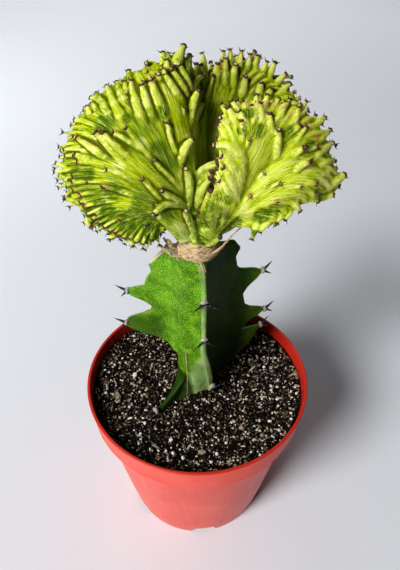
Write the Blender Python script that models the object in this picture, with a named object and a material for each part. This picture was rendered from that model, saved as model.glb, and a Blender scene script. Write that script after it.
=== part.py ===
"""Potted coral cactus: a crested spurge grafted on a three-winged stock, in a 12 cm plastic pot.

X is to the right, Y is away from the viewer and Z is up. The origin is on the pot's axis, on the
plane that the pot stands on. Sizes are written in millimetres and turned into metres as each mesh
is made.
"""
import math
import random

import bpy
import bmesh
from mathutils import Vector, noise

MM = 0.001
CLEAR = 0.3                 # gap kept between pieces that touch

# Pot
POT_HEIGHT = 99.8
RIM_RADIUS = 60.0
COLLAR_RADIUS = 58.9        # the band under the lip
COLLAR_FOOT_RADIUS = 58.3
COLLAR_FOOT = 85.2          # height of the band's lower edge
LIP_HEIGHT = 2.2
BODY_TOP_RADIUS = 57.0      # outside, just under the band
BASE_RADIUS = 42.0
WALL = 1.6
BAND_WALL = 1.9
FLOOR_UNDERSIDE = 2.4       # the floor is raised on a foot ring
FLOOR_THICKNESS = 1.6
FOOT_RING_WIDTH = 3.0
RIM_ROUNDING = 0.5
BAND_STEP = 1.6             # the inside steps out over this height, below and above the band's edge
CENTRE_HOLE_RADIUS = 5.0
DRAIN_HOLE_RADIUS = 4.0
DRAIN_HOLE_CIRCLE = 26.0
DRAIN_HOLES = 6
FOOT_NOTCHES = 6
NOTCH_WIDTH = 14.0
NOTCH_HEIGHT = 2.0
NOTCH_TURN = 3.0            # degrees that the front notch lies to the right of the middle
DRAIN_HOLE_SIDES = 16
ROUND_SIDES = 48

# Soil
SOIL_TOP = 90.5
SOIL_LUMP = 1.1
SOIL_LIMIT_AT_STEM = 91.2   # the mix lies just under the stem's wings
STEM_REACH = 36.0
SOIL_SIDE_GAP = 0.4         # to the pot's wall
SOIL_RINGS = 10
STEM_HOLE_RADIUS = 8.6
STEM_HOLE_BOTTOM = 60.0

# Stock, the green stem below the graft
STOCK_TOP = 183.6
ROOT_RADIUS = STEM_HOLE_RADIUS - CLEAR
WING_FOOT = 91.9            # the wings end just above the soil
ROOT_TOP = WING_FOOT - CLEAR
ROOT_POINT_LENGTH = 4.0
ROOT_POINT_SHARE = 0.8      # of the root's radius
CORE_RADIUS = 9.3
VALLEY_RADIUS = {"right": 9.0, "left": 10.8, "front": 8.4}      # in the hollow after each wing
TWIST_FROM = 138.0
TWIST_TO = 97.0
STATION_GAP = 0.75          # cross-sections nearer than this are left out
WING_EDGE_HALF = 1.2
WING_ROOT_SWELL = {"right": 5.0, "left": 5.0, "front": 2.4}
WING_SWELL_RADIUS = 6.0     # the swell is full at this radius and dies away over as much again
WING_LEAST_STRETCH = 0.6
WING_SHARES = (0.3, 0.85)   # of the way from the core to the wing's edge

# Each wing: compass direction of its edge at the top, the turn it makes near the soil, and its
# reach at each height.
WINGS = {
    "left": (166.0, 58.0, [
        (183.6, 15.4), (181.5, 16.6), (172.3, 24.2), (167.6, 22.8), (163.1, 25.6), (157.6, 27.5),
        (155.0, 34.6), (152.2, 36.4), (149.4, 35.0), (147.8, 28.5), (145.4, 23.7), (141.0, 25.4),
        (138.2, 31.0), (134.6, 37.0), (131.8, 38.0), (129.4, 35.2), (128.4, 24.0), (126.4, 16.6),
        (121.0, 11.2), (112.0, 9.8), (106.0, 10.8), (101.0, 16.4), (97.4, 21.4), (94.2, 27.4),
        (93.0, 29.6), (WING_FOOT, 28.6)]),
    "front": (281.0, 32.0, [
        (183.6, 9.4), (180.0, 10.6), (174.0, 13.6), (166.0, 15.6), (160.0, 15.2), (150.0, 15.2),
        (143.0, 16.8), (136.0, 15.4), (124.0, 13.6), (110.0, 11.4), (101.0, 11.0), (96.6, 11.8),
        (93.0, 10.6), (WING_FOOT, 10.2)]),
    "right": (25.0, 30.0, [
        (183.6, 18.6), (179.2, 21.7), (174.7, 19.3), (169.0, 20.4), (166.2, 22.7), (164.4, 30.5),
        (161.0, 35.5), (157.4, 33.0), (153.6, 27.6), (149.4, 25.0), (142.0, 26.4), (139.2, 30.0),
        (136.4, 36.5), (133.2, 39.4), (130.2, 36.0), (128.0, 31.0), (124.6, 26.4), (121.6, 26.4),
        (119.8, 33.0), (117.4, 38.4), (113.6, 36.0), (109.0, 29.0), (103.0, 20.0), (97.0, 14.0),
        (WING_FOOT, 10.8)]),
}
# The teeth that carry spines: wing, height and reach of the tip.
STOCK_TEETH = [
    ("left", 152.2, 36.4), ("left", 131.8, 38.0), ("left", 93.4, 29.4),
    ("front", 165.6, 15.6), ("front", 143.0, 16.8), ("front", 97.0, 11.8),
    ("right", 161.0, 35.5), ("right", 133.2, 39.4), ("right", 117.4, 38.4),
]
STOCK_SPINE_LENGTH = 6.4
STOCK_SPINE_ROOT = 1.0      # sunk into the tooth
STOCK_SPINE_RADIUS = 0.55
STOCK_SPINE_POINT = 0.12
STOCK_SPINE_SPREAD = 38.0   # degrees between each spine of a pair and the tooth's own direction
LOW_TOOTH = SOIL_TOP + 12.0 # below this height a tooth's spines lie level and rise a little
LOW_SPINE_RISE = 0.35
SHIELD_RADIUS = 1.5
SHIELD_TOP_RADIUS = 1.05
SHIELD_DEPTH = 2.2
SHIELD_RISE = 0.5

# Graft callus
CALLUS_BOTTOM = STOCK_TOP + CLEAR
CALLUS_TOP = 190.0
CALLUS_RADIUS = 8.8
# Height above its bottom and share of its radius, for each ring round it.
CALLUS_RINGS = [(0.0, 0.86), (1.0, 1.0), (2.8, 0.98), (4.6, 0.88), (CALLUS_TOP - CALLUS_BOTTOM, 0.84)]
CALLUS_LUMP = 0.07          # as a share of the radius
CALLUS_SIDES = 20

# Crest
CREST_BOTTOM = CALLUS_TOP + CLEAR
NECK_RADIUS = 6.6
NECK_HEIGHT = 16.0
LOBE_HALF_AT_NECK = 5.2
LOBE_HALF_AT_EDGE = 3.4
# Each lobe is a thick sheet that opens from the neck. Three curves give its form: where it leaves
# the neck, the middle of its face, and its growing edge. The rib ends stand past that edge as free
# fingers, whose lengths are given along it.
LOBES = {
    "left": {
        "neck": [(-4, -1, 191), (-4, -2, 192), (-3, -1, 193), (-2, 1, 193), (-1, 2, 192)],
        "middle": [(-11, -5, 200), (-15, -7, 207), (-22, -8, 213), (-27, -7, 224), (-25, -4, 233),
                   (-20, 0, 240), (-10, 5, 244), (-4, 10, 239)],
        "edge": [(-17, -2, 199), (-23, -4, 192), (-33, -3, 194), (-43, -2, 200), (-50, 0, 210),
                 (-53, 3, 220), (-50, 6, 230), (-44, 9, 238), (-36, 12, 245), (-26, 14, 250),
                 (-16, 16, 254), (-7, 18, 257), (-2, 22, 249)],
        "fingers": [2.6, 2.8, 2.8, 3.0, 3.4, 4.0, 4.6, 5.4, 5.0],
    },
    "back": {
        "neck": [(-2, 2, 192), (0, 3, 193), (2, 3, 193), (4, 2, 192)],
        "middle": [(-2, 16, 228), (2, 20, 231), (11, 24, 233), (21, 24, 233), (30, 20, 227),
                   (33, 14, 215), (18, 9, 203)],
        "edge": [(-1, 23, 245), (2, 27, 247), (7, 31, 250), (16, 34, 252), (24, 35, 250),
                 (31, 33, 245), (36, 29, 240), (41, 22, 235), (46, 17, 230), (48, 14, 222),
                 (46, 13, 213), (39, 13, 205), (28, 12, 200)],
        "fingers": [4.5, 5.5, 7.0, 7.2, 6.6, 5.6, 4.6, 4.4, 4.0, 3.4, 3.0],
    },
    "right": {
        "neck": [(3, -1, 192), (3, -2, 193), (4, -3, 193), (5, -3, 193), (6, -2, 191)],
        "middle": [(7, -9, 208), (13, -13, 224), (15, -12, 233), (26, -9, 232), (29, -12, 223),
                   (15, -10, 204)],
        "edge": [(10, -9, 213), (10, -11, 224), (9, -12, 233), (8, -11, 242), (11, -8, 248),
                 (17, -5, 250), (26, -2, 249), (35, 0, 246), (43, 2, 239), (48, 2, 231),
                 (51, 0, 222), (48, -4, 216), (39, -8, 213), (30, -11, 208), (22, -11, 203)],
        "fingers": [2.2, 2.2, 2.4, 4.0, 5.6, 5.6, 5.2, 5.4, 5.4, 4.6, 3.2, 2.8, 3.0],
    },
}
LOBE_STEPS = (0.04, 0.34, 0.6, 0.82, 1.0)      # shares of the way from the neck to the edge
LOBE_EDGE_ROUNDING = 2.4
RIB_SPACING = 5.6           # along the growing edge
RIB_HEIGHT = 1.1            # how far a rib stands above the middle of the ribbed face
RIB_START = 0.35            # as a share of the way from the neck to the edge
RIB_FULL = 0.85
FINGER_RADIUS = 1.45
FINGER_SIDES = 6
FINGER_START = 0.9          # a finger is rooted this share of the way from the neck to the edge
FINGER_TAPER = 0.85
FINGER_SPLAY = 0.3          # how far the two rows lean apart
FINGER_OFFSET = 0.75        # from the sheet's middle, as a share of its half thickness
CREST_SEED = 41
NECK_SIDES = 12
SKIN_GRAIN = 0.8            # voxel size of the skin that is drawn over the fused crest
SKIN_TRIANGLES = 9400
# Short stout fingers in the middle of the crest and teeth under it: root, tip, radius at the root.
STOUT_FINGERS = [
    ((3, -1, 200), (8, 2, 225), 3.4),
    ((2, -3, 198), (5, 0, 219), 3.1),
    ((2, -4, 196), (5, -4, 214), 3.1),
    ((6, -5, 198), (11, -7, 215), 3.4),
    ((5, -5, 194), (10, -10, 198), 2.9),
    ((-3, 4, 210), (-2, 9, 231), 3.4),
    ((20, -9, 205), (23, -12, 195), 3.1),
    ((45, -3, 221), (56, -1, 222), 3.4),
]
STOUT_TAPER = 0.46
# Low tubercles on the faces: lobe, share from neck to edge, share along the edge, and side.
FACE_TUBERCLES = [
    ("left", 0.72, 0.66, 1), ("left", 0.78, 0.52, 1), ("left", 0.52, 0.74, 1), ("left", 0.5, 0.9, 1),
    ("left", 0.6, 0.42, 1), ("left", 0.42, 0.5, 1), ("left", 0.72, 0.34, 1), ("left", 0.4, 0.25, 1),
    ("left", 0.8, 0.2, 1), ("left", 0.6, 0.6, -1), ("left", 0.75, 0.4, -1), ("left", 0.5, 0.8, -1),
    ("left", 0.8, 0.75, -1),
    ("right", 0.75, 0.38, 1), ("right", 0.72, 0.52, 1), ("right", 0.6, 0.64, 1),
    ("right", 0.45, 0.8, 1), ("right", 0.7, 0.78, 1), ("right", 0.4, 0.55, 1),
    ("right", 0.6, 0.45, -1),
    ("back", 0.6, 0.3, -1), ("back", 0.75, 0.45, -1), ("back", 0.55, 0.6, -1),
    ("back", 0.75, 0.15, -1), ("back", 0.8, 0.75, -1), ("back", 0.5, 0.45, -1),
]
TUBERCLE_RISE = 1.7
TUBERCLE_DEPTH = 1.5
TUBERCLE_TRAIL = 4.0        # it starts this far below its tip, along the face
TUBERCLE_ROOT_RADIUS = 2.0
TUBERCLE_TIP_RADIUS = 1.05


def metres(point):
    return Vector(point) * MM


def smooth_step(value):
    value = min(max(value, 0.0), 1.0)
    return value * value * (3.0 - 2.0 * value)


def read_curve(points, share):
    """A point on the smooth curve through the given points, share running from 0 to 1."""
    last = len(points) - 1
    place = min(max(share, 0.0), 1.0) * last
    i = min(int(place), last - 1)
    f = place - i
    p = [Vector(points[min(max(i + k, 0), last)]) for k in (-1, 0, 1, 2)]
    return 0.5 * (2.0 * p[1] + (p[2] - p[0]) * f
                  + (2.0 * p[0] - 5.0 * p[1] + 4.0 * p[2] - p[3]) * f * f
                  + (3.0 * p[1] - p[0] - 3.0 * p[2] + p[3]) * f ** 3)


def read_even(values, share):
    """Straight-line reading of evenly spaced values, share running from 0 to 1."""
    place = min(max(share, 0.0), 1.0) * (len(values) - 1)
    i = min(int(place), len(values) - 2)
    return values[i] + (values[i + 1] - values[i]) * (place - i)


def read_table(rows, height):
    """Straight-line reading of (height, value) rows that run from high to low."""
    if height >= rows[0][0]:
        return rows[0][1]
    for (z0, v0), (z1, v1) in zip(rows, rows[1:]):
        if height >= z1:
            return v0 + (v1 - v0) * (z0 - height) / (z0 - z1)
    return rows[-1][1]


def make_material(name, colour, roughness):
    material = bpy.data.materials.new(name)
    material.use_nodes = True
    shader = material.node_tree.nodes["Principled BSDF"]
    shader.inputs["Base Color"].default_value = (*colour, 1.0)
    shader.inputs["Roughness"].default_value = roughness
    material.diffuse_color = (*colour, 1.0)
    return material


def make_object(name, bm, material=None):
    """Close the bmesh into an object with its faces pointing out."""
    bmesh.ops.remove_doubles(bm, verts=bm.verts, dist=0.00001)
    bmesh.ops.recalc_face_normals(bm, faces=bm.faces)
    mesh = bpy.data.meshes.new(name)
    bm.to_mesh(mesh)
    bm.free()
    thing = bpy.data.objects.new(name, mesh)
    bpy.context.scene.collection.objects.link(thing)
    if material:
        mesh.materials.append(material)
    return thing


def join_rings(rings):
    """A closed skin over rings of points, with a flat cap on the first and on the last."""
    bm = bmesh.new()
    made = [[bm.verts.new(metres(point)) for point in ring] for ring in rings]
    for lower, upper in zip(made, made[1:]):
        for i in range(len(lower)):
            j = (i + 1) % len(lower)
            bm.faces.new((lower[i], lower[j], upper[j], upper[i]))
    bm.faces.new(reversed(made[0]))
    bm.faces.new(made[-1])
    return bm


def spin_profile(profile, closed):
    """Turn a profile of (radius, height) points round the pot's axis."""
    bm = bmesh.new()
    verts = [bm.verts.new(metres((radius, 0.0, height))) for radius, height in profile]
    edges = [bm.edges.new(pair) for pair in zip(verts, verts[1:])]
    if closed:
        edges.append(bm.edges.new((verts[-1], verts[0])))
    bmesh.ops.spin(bm, geom=verts + edges, cent=(0, 0, 0), axis=(0, 0, 1), angle=2.0 * math.pi,
                   steps=ROUND_SIDES, use_merge=True)
    return bm


def cut(target, cutters, name):
    """Take every cutter out of the target with one applied Boolean."""
    apply_boolean(target, cutters, name, "DIFFERENCE", "EXACT")


def unite(target, pieces, name, solver):
    """Fuse every piece into the target with one applied Boolean."""
    apply_boolean(target, pieces, name, "UNION", solver)


def apply_boolean(target, others, name, operation, solver):
    group = bpy.data.collections.new(name)
    bpy.context.scene.collection.children.link(group)
    for other in others:
        bpy.context.scene.collection.objects.unlink(other)
        group.objects.link(other)
    boolean = target.modifiers.new(name, "BOOLEAN")
    boolean.operation = operation
    boolean.operand_type = "COLLECTION"
    boolean.collection = group
    boolean.solver = solver
    bpy.context.view_layer.objects.active = target
    bpy.ops.object.modifier_apply(modifier=boolean.name)
    for other in list(group.objects):
        bpy.data.objects.remove(other)
    bpy.data.collections.remove(group)


def shade(thing, angle):
    thing.data.shade_smooth()
    thing.data.set_sharp_from_angle(angle=math.radians(angle))


# Pot

def pot_outer_radius(height):
    return BASE_RADIUS + (BODY_TOP_RADIUS - BASE_RADIUS) * height / COLLAR_FOOT


def pot_inner_radius(height):
    return pot_outer_radius(height) - WALL


def make_pot(material):
    floor_top = FLOOR_UNDERSIDE + FLOOR_THICKNESS
    lip_bottom = POT_HEIGHT - LIP_HEIGHT
    inner_rim = RIM_RADIUS - BAND_WALL
    profile = [
        (CENTRE_HOLE_RADIUS, FLOOR_UNDERSIDE),
        (BASE_RADIUS - FOOT_RING_WIDTH, FLOOR_UNDERSIDE),
        (BASE_RADIUS - FOOT_RING_WIDTH, 0.0),
        (BASE_RADIUS - RIM_ROUNDING, 0.0),
        (BASE_RADIUS, RIM_ROUNDING),
        (BODY_TOP_RADIUS, COLLAR_FOOT),
        (COLLAR_FOOT_RADIUS, COLLAR_FOOT),
        (COLLAR_RADIUS, lip_bottom),
        (RIM_RADIUS, lip_bottom + RIM_ROUNDING),
        (RIM_RADIUS, POT_HEIGHT - RIM_ROUNDING),
        (RIM_RADIUS - RIM_ROUNDING, POT_HEIGHT),
        (inner_rim + RIM_ROUNDING, POT_HEIGHT),
        (inner_rim, POT_HEIGHT - RIM_ROUNDING),
        (COLLAR_FOOT_RADIUS - BAND_WALL, COLLAR_FOOT + BAND_STEP),
        (pot_inner_radius(COLLAR_FOOT), COLLAR_FOOT - BAND_STEP),
        (pot_inner_radius(floor_top), floor_top),
        (CENTRE_HOLE_RADIUS, floor_top),
    ]
    pot = make_object("pot", spin_profile(profile, closed=True), material)
    cutters = [make_drain_cutter(i) for i in range(DRAIN_HOLES)]
    cutters += [make_notch_cutter(i) for i in range(FOOT_NOTCHES)]
    cut(pot, cutters, "pot_cuts")
    shade(pot, 40)
    return pot


def make_drain_cutter(i):
    angle = 2.0 * math.pi * (i + 0.5) / DRAIN_HOLES
    bm = bmesh.new()
    bmesh.ops.create_cone(bm, cap_ends=True, segments=DRAIN_HOLE_SIDES,
                          radius1=DRAIN_HOLE_RADIUS * MM, radius2=DRAIN_HOLE_RADIUS * MM,
                          depth=4.0 * FLOOR_THICKNESS * MM)
    centre = (DRAIN_HOLE_CIRCLE * math.cos(angle), DRAIN_HOLE_CIRCLE * math.sin(angle),
              FLOOR_UNDERSIDE + FLOOR_THICKNESS / 2.0)
    bmesh.ops.translate(bm, verts=bm.verts, vec=metres(centre))
    return make_object("drain_cutter_%d" % i, bm)


def make_notch_cutter(i):
    turn = math.radians(-90.0 + NOTCH_TURN + 360.0 * i / FOOT_NOTCHES)
    out = Vector((math.cos(turn), math.sin(turn), 0.0))
    side = Vector((-math.sin(turn), math.cos(turn), 0.0))
    near = BASE_RADIUS - 2.0 * FOOT_RING_WIDTH
    far = BASE_RADIUS + FOOT_RING_WIDTH
    half = NOTCH_WIDTH / 2.0
    rings = []
    for reach in (near, far):
        corners = ((-half, -1.0), (half, -1.0), (half, NOTCH_HEIGHT), (-half, NOTCH_HEIGHT))
        rings.append([out * reach + side * across + Vector((0, 0, up)) for across, up in corners])
    return make_object("notch_cutter_%d" % i, join_rings(rings))


# Soil

def soil_height(x, y):
    """Height of the potting mix, with coarse lumps and small ones."""
    coarse = noise.noise(Vector((x * 0.06, y * 0.06, 3.0)))
    fine = noise.noise(Vector((x * 0.21, y * 0.21, 7.0)))
    height = SOIL_TOP + SOIL_LUMP * (0.7 * coarse + 0.6 * fine)
    if math.hypot(x, y) < STEM_REACH:
        height = min(height, SOIL_LIMIT_AT_STEM)
    return height


def make_soil(material):
    bottom = FLOOR_UNDERSIDE + FLOOR_THICKNESS + CLEAR
    shoulder = COLLAR_FOOT - BAND_STEP
    band_edge = COLLAR_FOOT + BAND_STEP
    top_radius = COLLAR_FOOT_RADIUS - BAND_WALL - SOIL_SIDE_GAP
    profile = [
        (0.0, bottom),
        (pot_inner_radius(bottom) - SOIL_SIDE_GAP, bottom),
        (pot_inner_radius(shoulder) - SOIL_SIDE_GAP, shoulder),
        (top_radius, band_edge),
    ]
    for i in range(SOIL_RINGS + 1):
        share = i / SOIL_RINGS
        profile.append((top_radius + (STEM_HOLE_RADIUS - top_radius) * share, SOIL_TOP))
    profile += [(STEM_HOLE_RADIUS, STEM_HOLE_BOTTOM), (0.0, STEM_HOLE_BOTTOM)]
    bm = spin_profile(profile, closed=False)
    for vert in bm.verts:
        if vert.co.z > (SOIL_TOP - CLEAR) * MM:
            vert.co.z = soil_height(vert.co.x / MM, vert.co.y / MM) * MM
    return make_object("soil", bm, material)


# Stock

def wing_angle(wing, height):
    at_top, turn, reaches = WINGS[wing]
    return at_top + turn * smooth_step((TWIST_FROM - height) / (TWIST_FROM - TWIST_TO))


def wing_reach(wing, height):
    return read_table(WINGS[wing][2], height)


def wing_direction(wing, height):
    angle = math.radians(wing_angle(wing, height))
    return Vector((math.cos(angle), math.sin(angle), 0.0))


def wing_half_thickness(wing, reach):
    swell = math.exp(-(reach - WING_SWELL_RADIUS) / WING_SWELL_RADIUS)
    return WING_EDGE_HALF + WING_ROOT_SWELL[wing] * swell


def stock_ring(height):
    """The winged cross-section of the stem at one height, as points in order round it."""
    names = ("right", "left", "front")
    ring = []
    for i, wing in enumerate(names):
        out = wing_direction(wing, height)
        side = Vector((-out.y, out.x, 0.0))
        stretch = max(wing_reach(wing, height) - CORE_RADIUS, WING_LEAST_STRETCH)
        places = [CORE_RADIUS + stretch * share for share in WING_SHARES]
        for radius in places:
            ring.append(out * radius - side * wing_half_thickness(wing, radius))
        ring.append(out * (CORE_RADIUS + stretch))
        for radius in reversed(places):
            ring.append(out * radius + side * wing_half_thickness(wing, radius))
        here = wing_angle(wing, height)
        following = wing_angle(names[(i + 1) % 3], height)
        middle = math.radians(here + ((following - here) % 360.0) / 2.0)
        ring.append(Vector((math.cos(middle), math.sin(middle), 0.0)) * VALLEY_RADIUS[wing])
    return [point + Vector((0, 0, height)) for point in ring]


def stock_heights():
    heights = {STOCK_TOP, WING_FOOT}
    for wing in WINGS.values():
        heights.update(height for height, reach in wing[2])
    kept = []
    for height in sorted(heights):
        if not kept or height - kept[-1] > STATION_GAP:
            kept.append(height)
    return kept


def root_ring(height, radius, like):
    """A round ring that follows the compass directions of the ring above it."""
    ring = []
    for point in like:
        flat = Vector((point.x, point.y, 0.0)).normalized()
        ring.append(flat * radius + Vector((0, 0, height)))
    return ring


def make_cone(name, start, end, start_radius, end_radius, sides):
    """A tapered prism from one point to another, in millimetres."""
    start = Vector(start)
    end = Vector(end)
    bm = bmesh.new()
    bmesh.ops.create_cone(bm, cap_ends=True, segments=sides, radius1=start_radius * MM,
                          radius2=end_radius * MM, depth=(end - start).length * MM)
    turn = (end - start).to_track_quat("Z", "Y").to_matrix()
    bmesh.ops.rotate(bm, verts=bm.verts, cent=(0, 0, 0), matrix=turn)
    bmesh.ops.translate(bm, verts=bm.verts, vec=metres((start + end) / 2.0))
    return make_object(name, bm)


def make_stock_spines():
    pieces = []
    for i, (wing, height, reach) in enumerate(STOCK_TEETH):
        out = wing_direction(wing, height)
        tip = out * reach + Vector((0, 0, height))
        pieces.append(make_cone("shield_%d" % i, tip - out * SHIELD_DEPTH, tip + out * SHIELD_RISE,
                                SHIELD_RADIUS, SHIELD_TOP_RADIUS, 6))
        low = height < LOW_TOOTH
        level = Vector((-out.y, out.x, 0.0))
        across = level if low or wing == "front" else Vector((0, 0, 1))
        lift = Vector((0, 0, LOW_SPINE_RISE if low else 0.0))
        spread = math.radians(STOCK_SPINE_SPREAD)
        for sign in (-1.0, 1.0):
            direction = out * math.cos(spread) + across * sign * math.sin(spread) + lift
            root = tip - direction * STOCK_SPINE_ROOT
            end = tip + direction.normalized() * STOCK_SPINE_LENGTH
            pieces.append(make_cone("spine_%d_%d" % (i, sign > 0), root, end,
                                    STOCK_SPINE_RADIUS, STOCK_SPINE_POINT, 4))
    return pieces


def make_stock(material):
    upper = [stock_ring(height) for height in stock_heights()]
    collar = root_ring(ROOT_TOP, ROOT_RADIUS, upper[0])
    foot = root_ring(STEM_HOLE_BOTTOM + CLEAR, ROOT_RADIUS * ROOT_POINT_SHARE, upper[0])
    waist = root_ring(STEM_HOLE_BOTTOM + ROOT_POINT_LENGTH, ROOT_RADIUS, upper[0])
    stock = make_object("stock", join_rings([foot, waist, collar] + upper), material)
    unite(stock, make_stock_spines(), "stock_repeats", "MANIFOLD")
    shade(stock, 45)
    return stock


# Graft callus

def make_callus(material):
    rings = []
    for rise, share in CALLUS_RINGS:
        height = CALLUS_BOTTOM + rise
        ring = []
        for i in range(CALLUS_SIDES):
            angle = 2.0 * math.pi * i / CALLUS_SIDES
            wobble = noise.noise(Vector((3.0 * math.cos(angle), 3.0 * math.sin(angle), height)))
            radius = CALLUS_RADIUS * share * (1.0 + CALLUS_LUMP * wobble)
            ring.append(Vector((radius * math.cos(angle), radius * math.sin(angle), height)))
        rings.append(ring)
    callus = make_object("graft_callus", join_rings(rings), material)
    shade(callus, 50)
    return callus


# Crest

def lobe_point(lobe, s, t):
    """A point on a lobe's middle sheet: s from the neck to the edge, t along the edge."""
    neck = read_curve(lobe["neck"], t)
    middle = read_curve(lobe["middle"], t)
    edge = read_curve(lobe["edge"], t)
    return (neck * (1.0 - s) * (1.0 - 2.0 * s) + middle * 4.0 * s * (1.0 - s)
            + edge * s * (2.0 * s - 1.0))


def lobe_frame(lobe, s, t):
    """The sheet's outward direction and its normal, which points to the viewer's side."""
    step = 0.01
    outward = lobe_point(lobe, s + step, t) - lobe_point(lobe, s - step, t)
    along = lobe_point(lobe, s, min(t + step, 1.0)) - lobe_point(lobe, s, max(t - step, 0.0))
    normal = along.cross(outward)
    return outward.normalized(), normal.normalized()


def lobe_half(s):
    return LOBE_HALF_AT_NECK + (LOBE_HALF_AT_EDGE - LOBE_HALF_AT_NECK) * min(s, 1.0)


def edge_length(lobe):
    samples = 80
    points = [read_curve(lobe["edge"], i / samples) for i in range(samples + 1)]
    return sum((b - a).length for a, b in zip(points, points[1:]))


def rib_count(lobe):
    return int(edge_length(lobe) / RIB_SPACING)


def rib_height(s):
    return RIB_HEIGHT * smooth_step((s - RIB_START) / (RIB_FULL - RIB_START))


def make_lobe(name):
    """A thick sheet with ribs on both faces, the back ones between the front ones."""
    lobe = LOBES[name]
    stations = 2 * rib_count(lobe)
    rings = []
    for i in range(stations + 1):
        t = i / stations
        wave = 1.0 if i % 2 == 0 else -1.0
        front = []
        back = []
        for s in LOBE_STEPS:
            point = lobe_point(lobe, s, t)
            normal = lobe_frame(lobe, s, t)[1]
            front.append(point + normal * (lobe_half(s) + wave * rib_height(s)))
            back.append(point - normal * (lobe_half(s) - wave * rib_height(s)))
        outward, normal = lobe_frame(lobe, 1.0, t)
        rim = lobe_point(lobe, 1.0, t) + outward * LOBE_EDGE_ROUNDING
        rings.append(front + [rim + normal * wave * RIB_HEIGHT] + back[::-1])
    return make_object("lobe_" + name, join_rings(rings))


def make_finger(name, lobe, t, row, reach, radius):
    """The free end of a rib, past the lobe's edge."""
    normal = lobe_frame(lobe, FINGER_START, t)[1]
    root = (lobe_point(lobe, FINGER_START, t)
            + normal * row * lobe_half(FINGER_START) * FINGER_OFFSET)
    outward, normal = lobe_frame(lobe, 1.0, t)
    lean = (outward + normal * row * FINGER_SPLAY).normalized()
    tip = lobe_point(lobe, 1.0, t) + normal * row * LOBE_HALF_AT_EDGE * FINGER_OFFSET + lean * reach
    return make_cone(name, root, tip, radius, radius * FINGER_TAPER, FINGER_SIDES)


def make_tubercle(i, name, s, t, side):
    """A low bump on a face, leaning to the growing edge."""
    outward, normal = lobe_frame(LOBES[name], s, t)
    skin = lobe_point(LOBES[name], s, t) + normal * side * lobe_half(s)
    tip = skin + normal * side * TUBERCLE_RISE + outward * TUBERCLE_RISE
    root = skin - normal * side * TUBERCLE_DEPTH - outward * TUBERCLE_TRAIL
    return make_cone("tubercle_%d" % i, root, tip, TUBERCLE_ROOT_RADIUS, TUBERCLE_TIP_RADIUS,
                     FINGER_SIDES)


def make_fingers(name, chance):
    """Two staggered rows of fingers along the growing edge of one lobe."""
    lobe = LOBES[name]
    stations = 2 * rib_count(lobe)
    pieces = []
    for i in range(stations + 1):
        row = 1.0 if i % 2 == 0 else -1.0
        reach = read_even(lobe["fingers"], i / stations) * chance.uniform(0.8, 1.15)
        radius = FINGER_RADIUS * chance.uniform(0.9, 1.15)
        label = "finger_%s_%d" % (name, i)
        pieces.append(make_finger(label, lobe, i / stations, row, reach, radius))
    return pieces


def draw_skin(thing):
    """One clean skin over the fused pieces, thinned to few triangles. It fills sealed hollows."""
    remesh = thing.modifiers.new("skin", "REMESH")
    remesh.mode = "VOXEL"
    remesh.voxel_size = SKIN_GRAIN * MM
    bpy.context.view_layer.objects.active = thing
    bpy.ops.object.modifier_apply(modifier=remesh.name)
    keep_largest_skin(thing)
    soften = thing.modifiers.new("soften", "SMOOTH")
    soften.factor = 0.5
    soften.iterations = 2
    thing.modifiers.new("triangles", "TRIANGULATE")
    thin = thing.modifiers.new("thin", "DECIMATE")
    thin.ratio = SKIN_TRIANGLES / sum(len(face.vertices) - 2 for face in thing.data.polygons)


def keep_largest_skin(thing):
    bm = bmesh.new()
    bm.from_mesh(thing.data)
    waiting = set(bm.faces)
    skins = []
    while waiting:
        stack = [waiting.pop()]
        skin = []
        while stack:
            face = stack.pop()
            skin.append(face)
            for edge in face.edges:
                for other in edge.link_faces:
                    if other in waiting:
                        waiting.remove(other)
                        stack.append(other)
        skins.append(skin)
    skins.sort(key=len)
    for skin in skins[:-1]:
        bmesh.ops.delete(bm, geom=skin, context="FACES")
    bm.to_mesh(thing.data)
    bm.free()


def make_crest(material):
    chance = random.Random(CREST_SEED)
    rings = []
    for height, radius in ((CREST_BOTTOM, NECK_RADIUS), (CREST_BOTTOM + 5.0, NECK_RADIUS + 0.8),
                           (CREST_BOTTOM + NECK_HEIGHT, NECK_RADIUS * 0.8)):
        ring = []
        for i in range(NECK_SIDES):
            angle = 2.0 * math.pi * i / NECK_SIDES
            ring.append(Vector((radius * math.cos(angle), radius * math.sin(angle), height)))
        rings.append(ring)
    crest = make_object("crest", join_rings(rings), material)
    pieces = [make_lobe(name) for name in LOBES]
    for name in LOBES:
        pieces += make_fingers(name, chance)
    for i, (root, tip, radius) in enumerate(STOUT_FINGERS):
        pieces.append(make_cone("stout_%d" % i, root, tip, radius, radius * STOUT_TAPER,
                                FINGER_SIDES))
    for i, (name, s, t, side) in enumerate(FACE_TUBERCLES):
        pieces.append(make_tubercle(i, name, s, t, side))
    unite(crest, pieces, "crest_repeats", "MANIFOLD")
    draw_skin(crest)
    return crest


def main():
    for thing in list(bpy.data.objects):
        bpy.data.objects.remove(thing)
    make_pot(make_material("pot_plastic", (0.78, 0.10, 0.06), 0.45))
    make_soil(make_material("potting_mix", (0.035, 0.022, 0.015), 0.95))
    make_stock(make_material("stock_skin", (0.09, 0.30, 0.03), 0.5))
    make_callus(make_material("dry_callus", (0.50, 0.36, 0.20), 0.9))
    make_crest(make_material("crest_skin", (0.50, 0.62, 0.08), 0.5))


main()
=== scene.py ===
"""Looks of a potted coral cactus: pot, potting mix, winged stock, graft callus and crest.

X is to the right, Y is away from the viewer and Z is up. Shapes are worked out in millimetres and
turned into metres as each mesh is made. The frame gives the pieces' places and sizes.
"""
import random
from math import ceil, cos, exp, hypot, pi, radians, sin, sqrt

import bmesh
import bpy
import numpy as np
from bpy.props import FloatProperty, FloatVectorProperty, IntProperty, PointerProperty
from mathutils import Matrix, Vector, kdtree, noise


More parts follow.
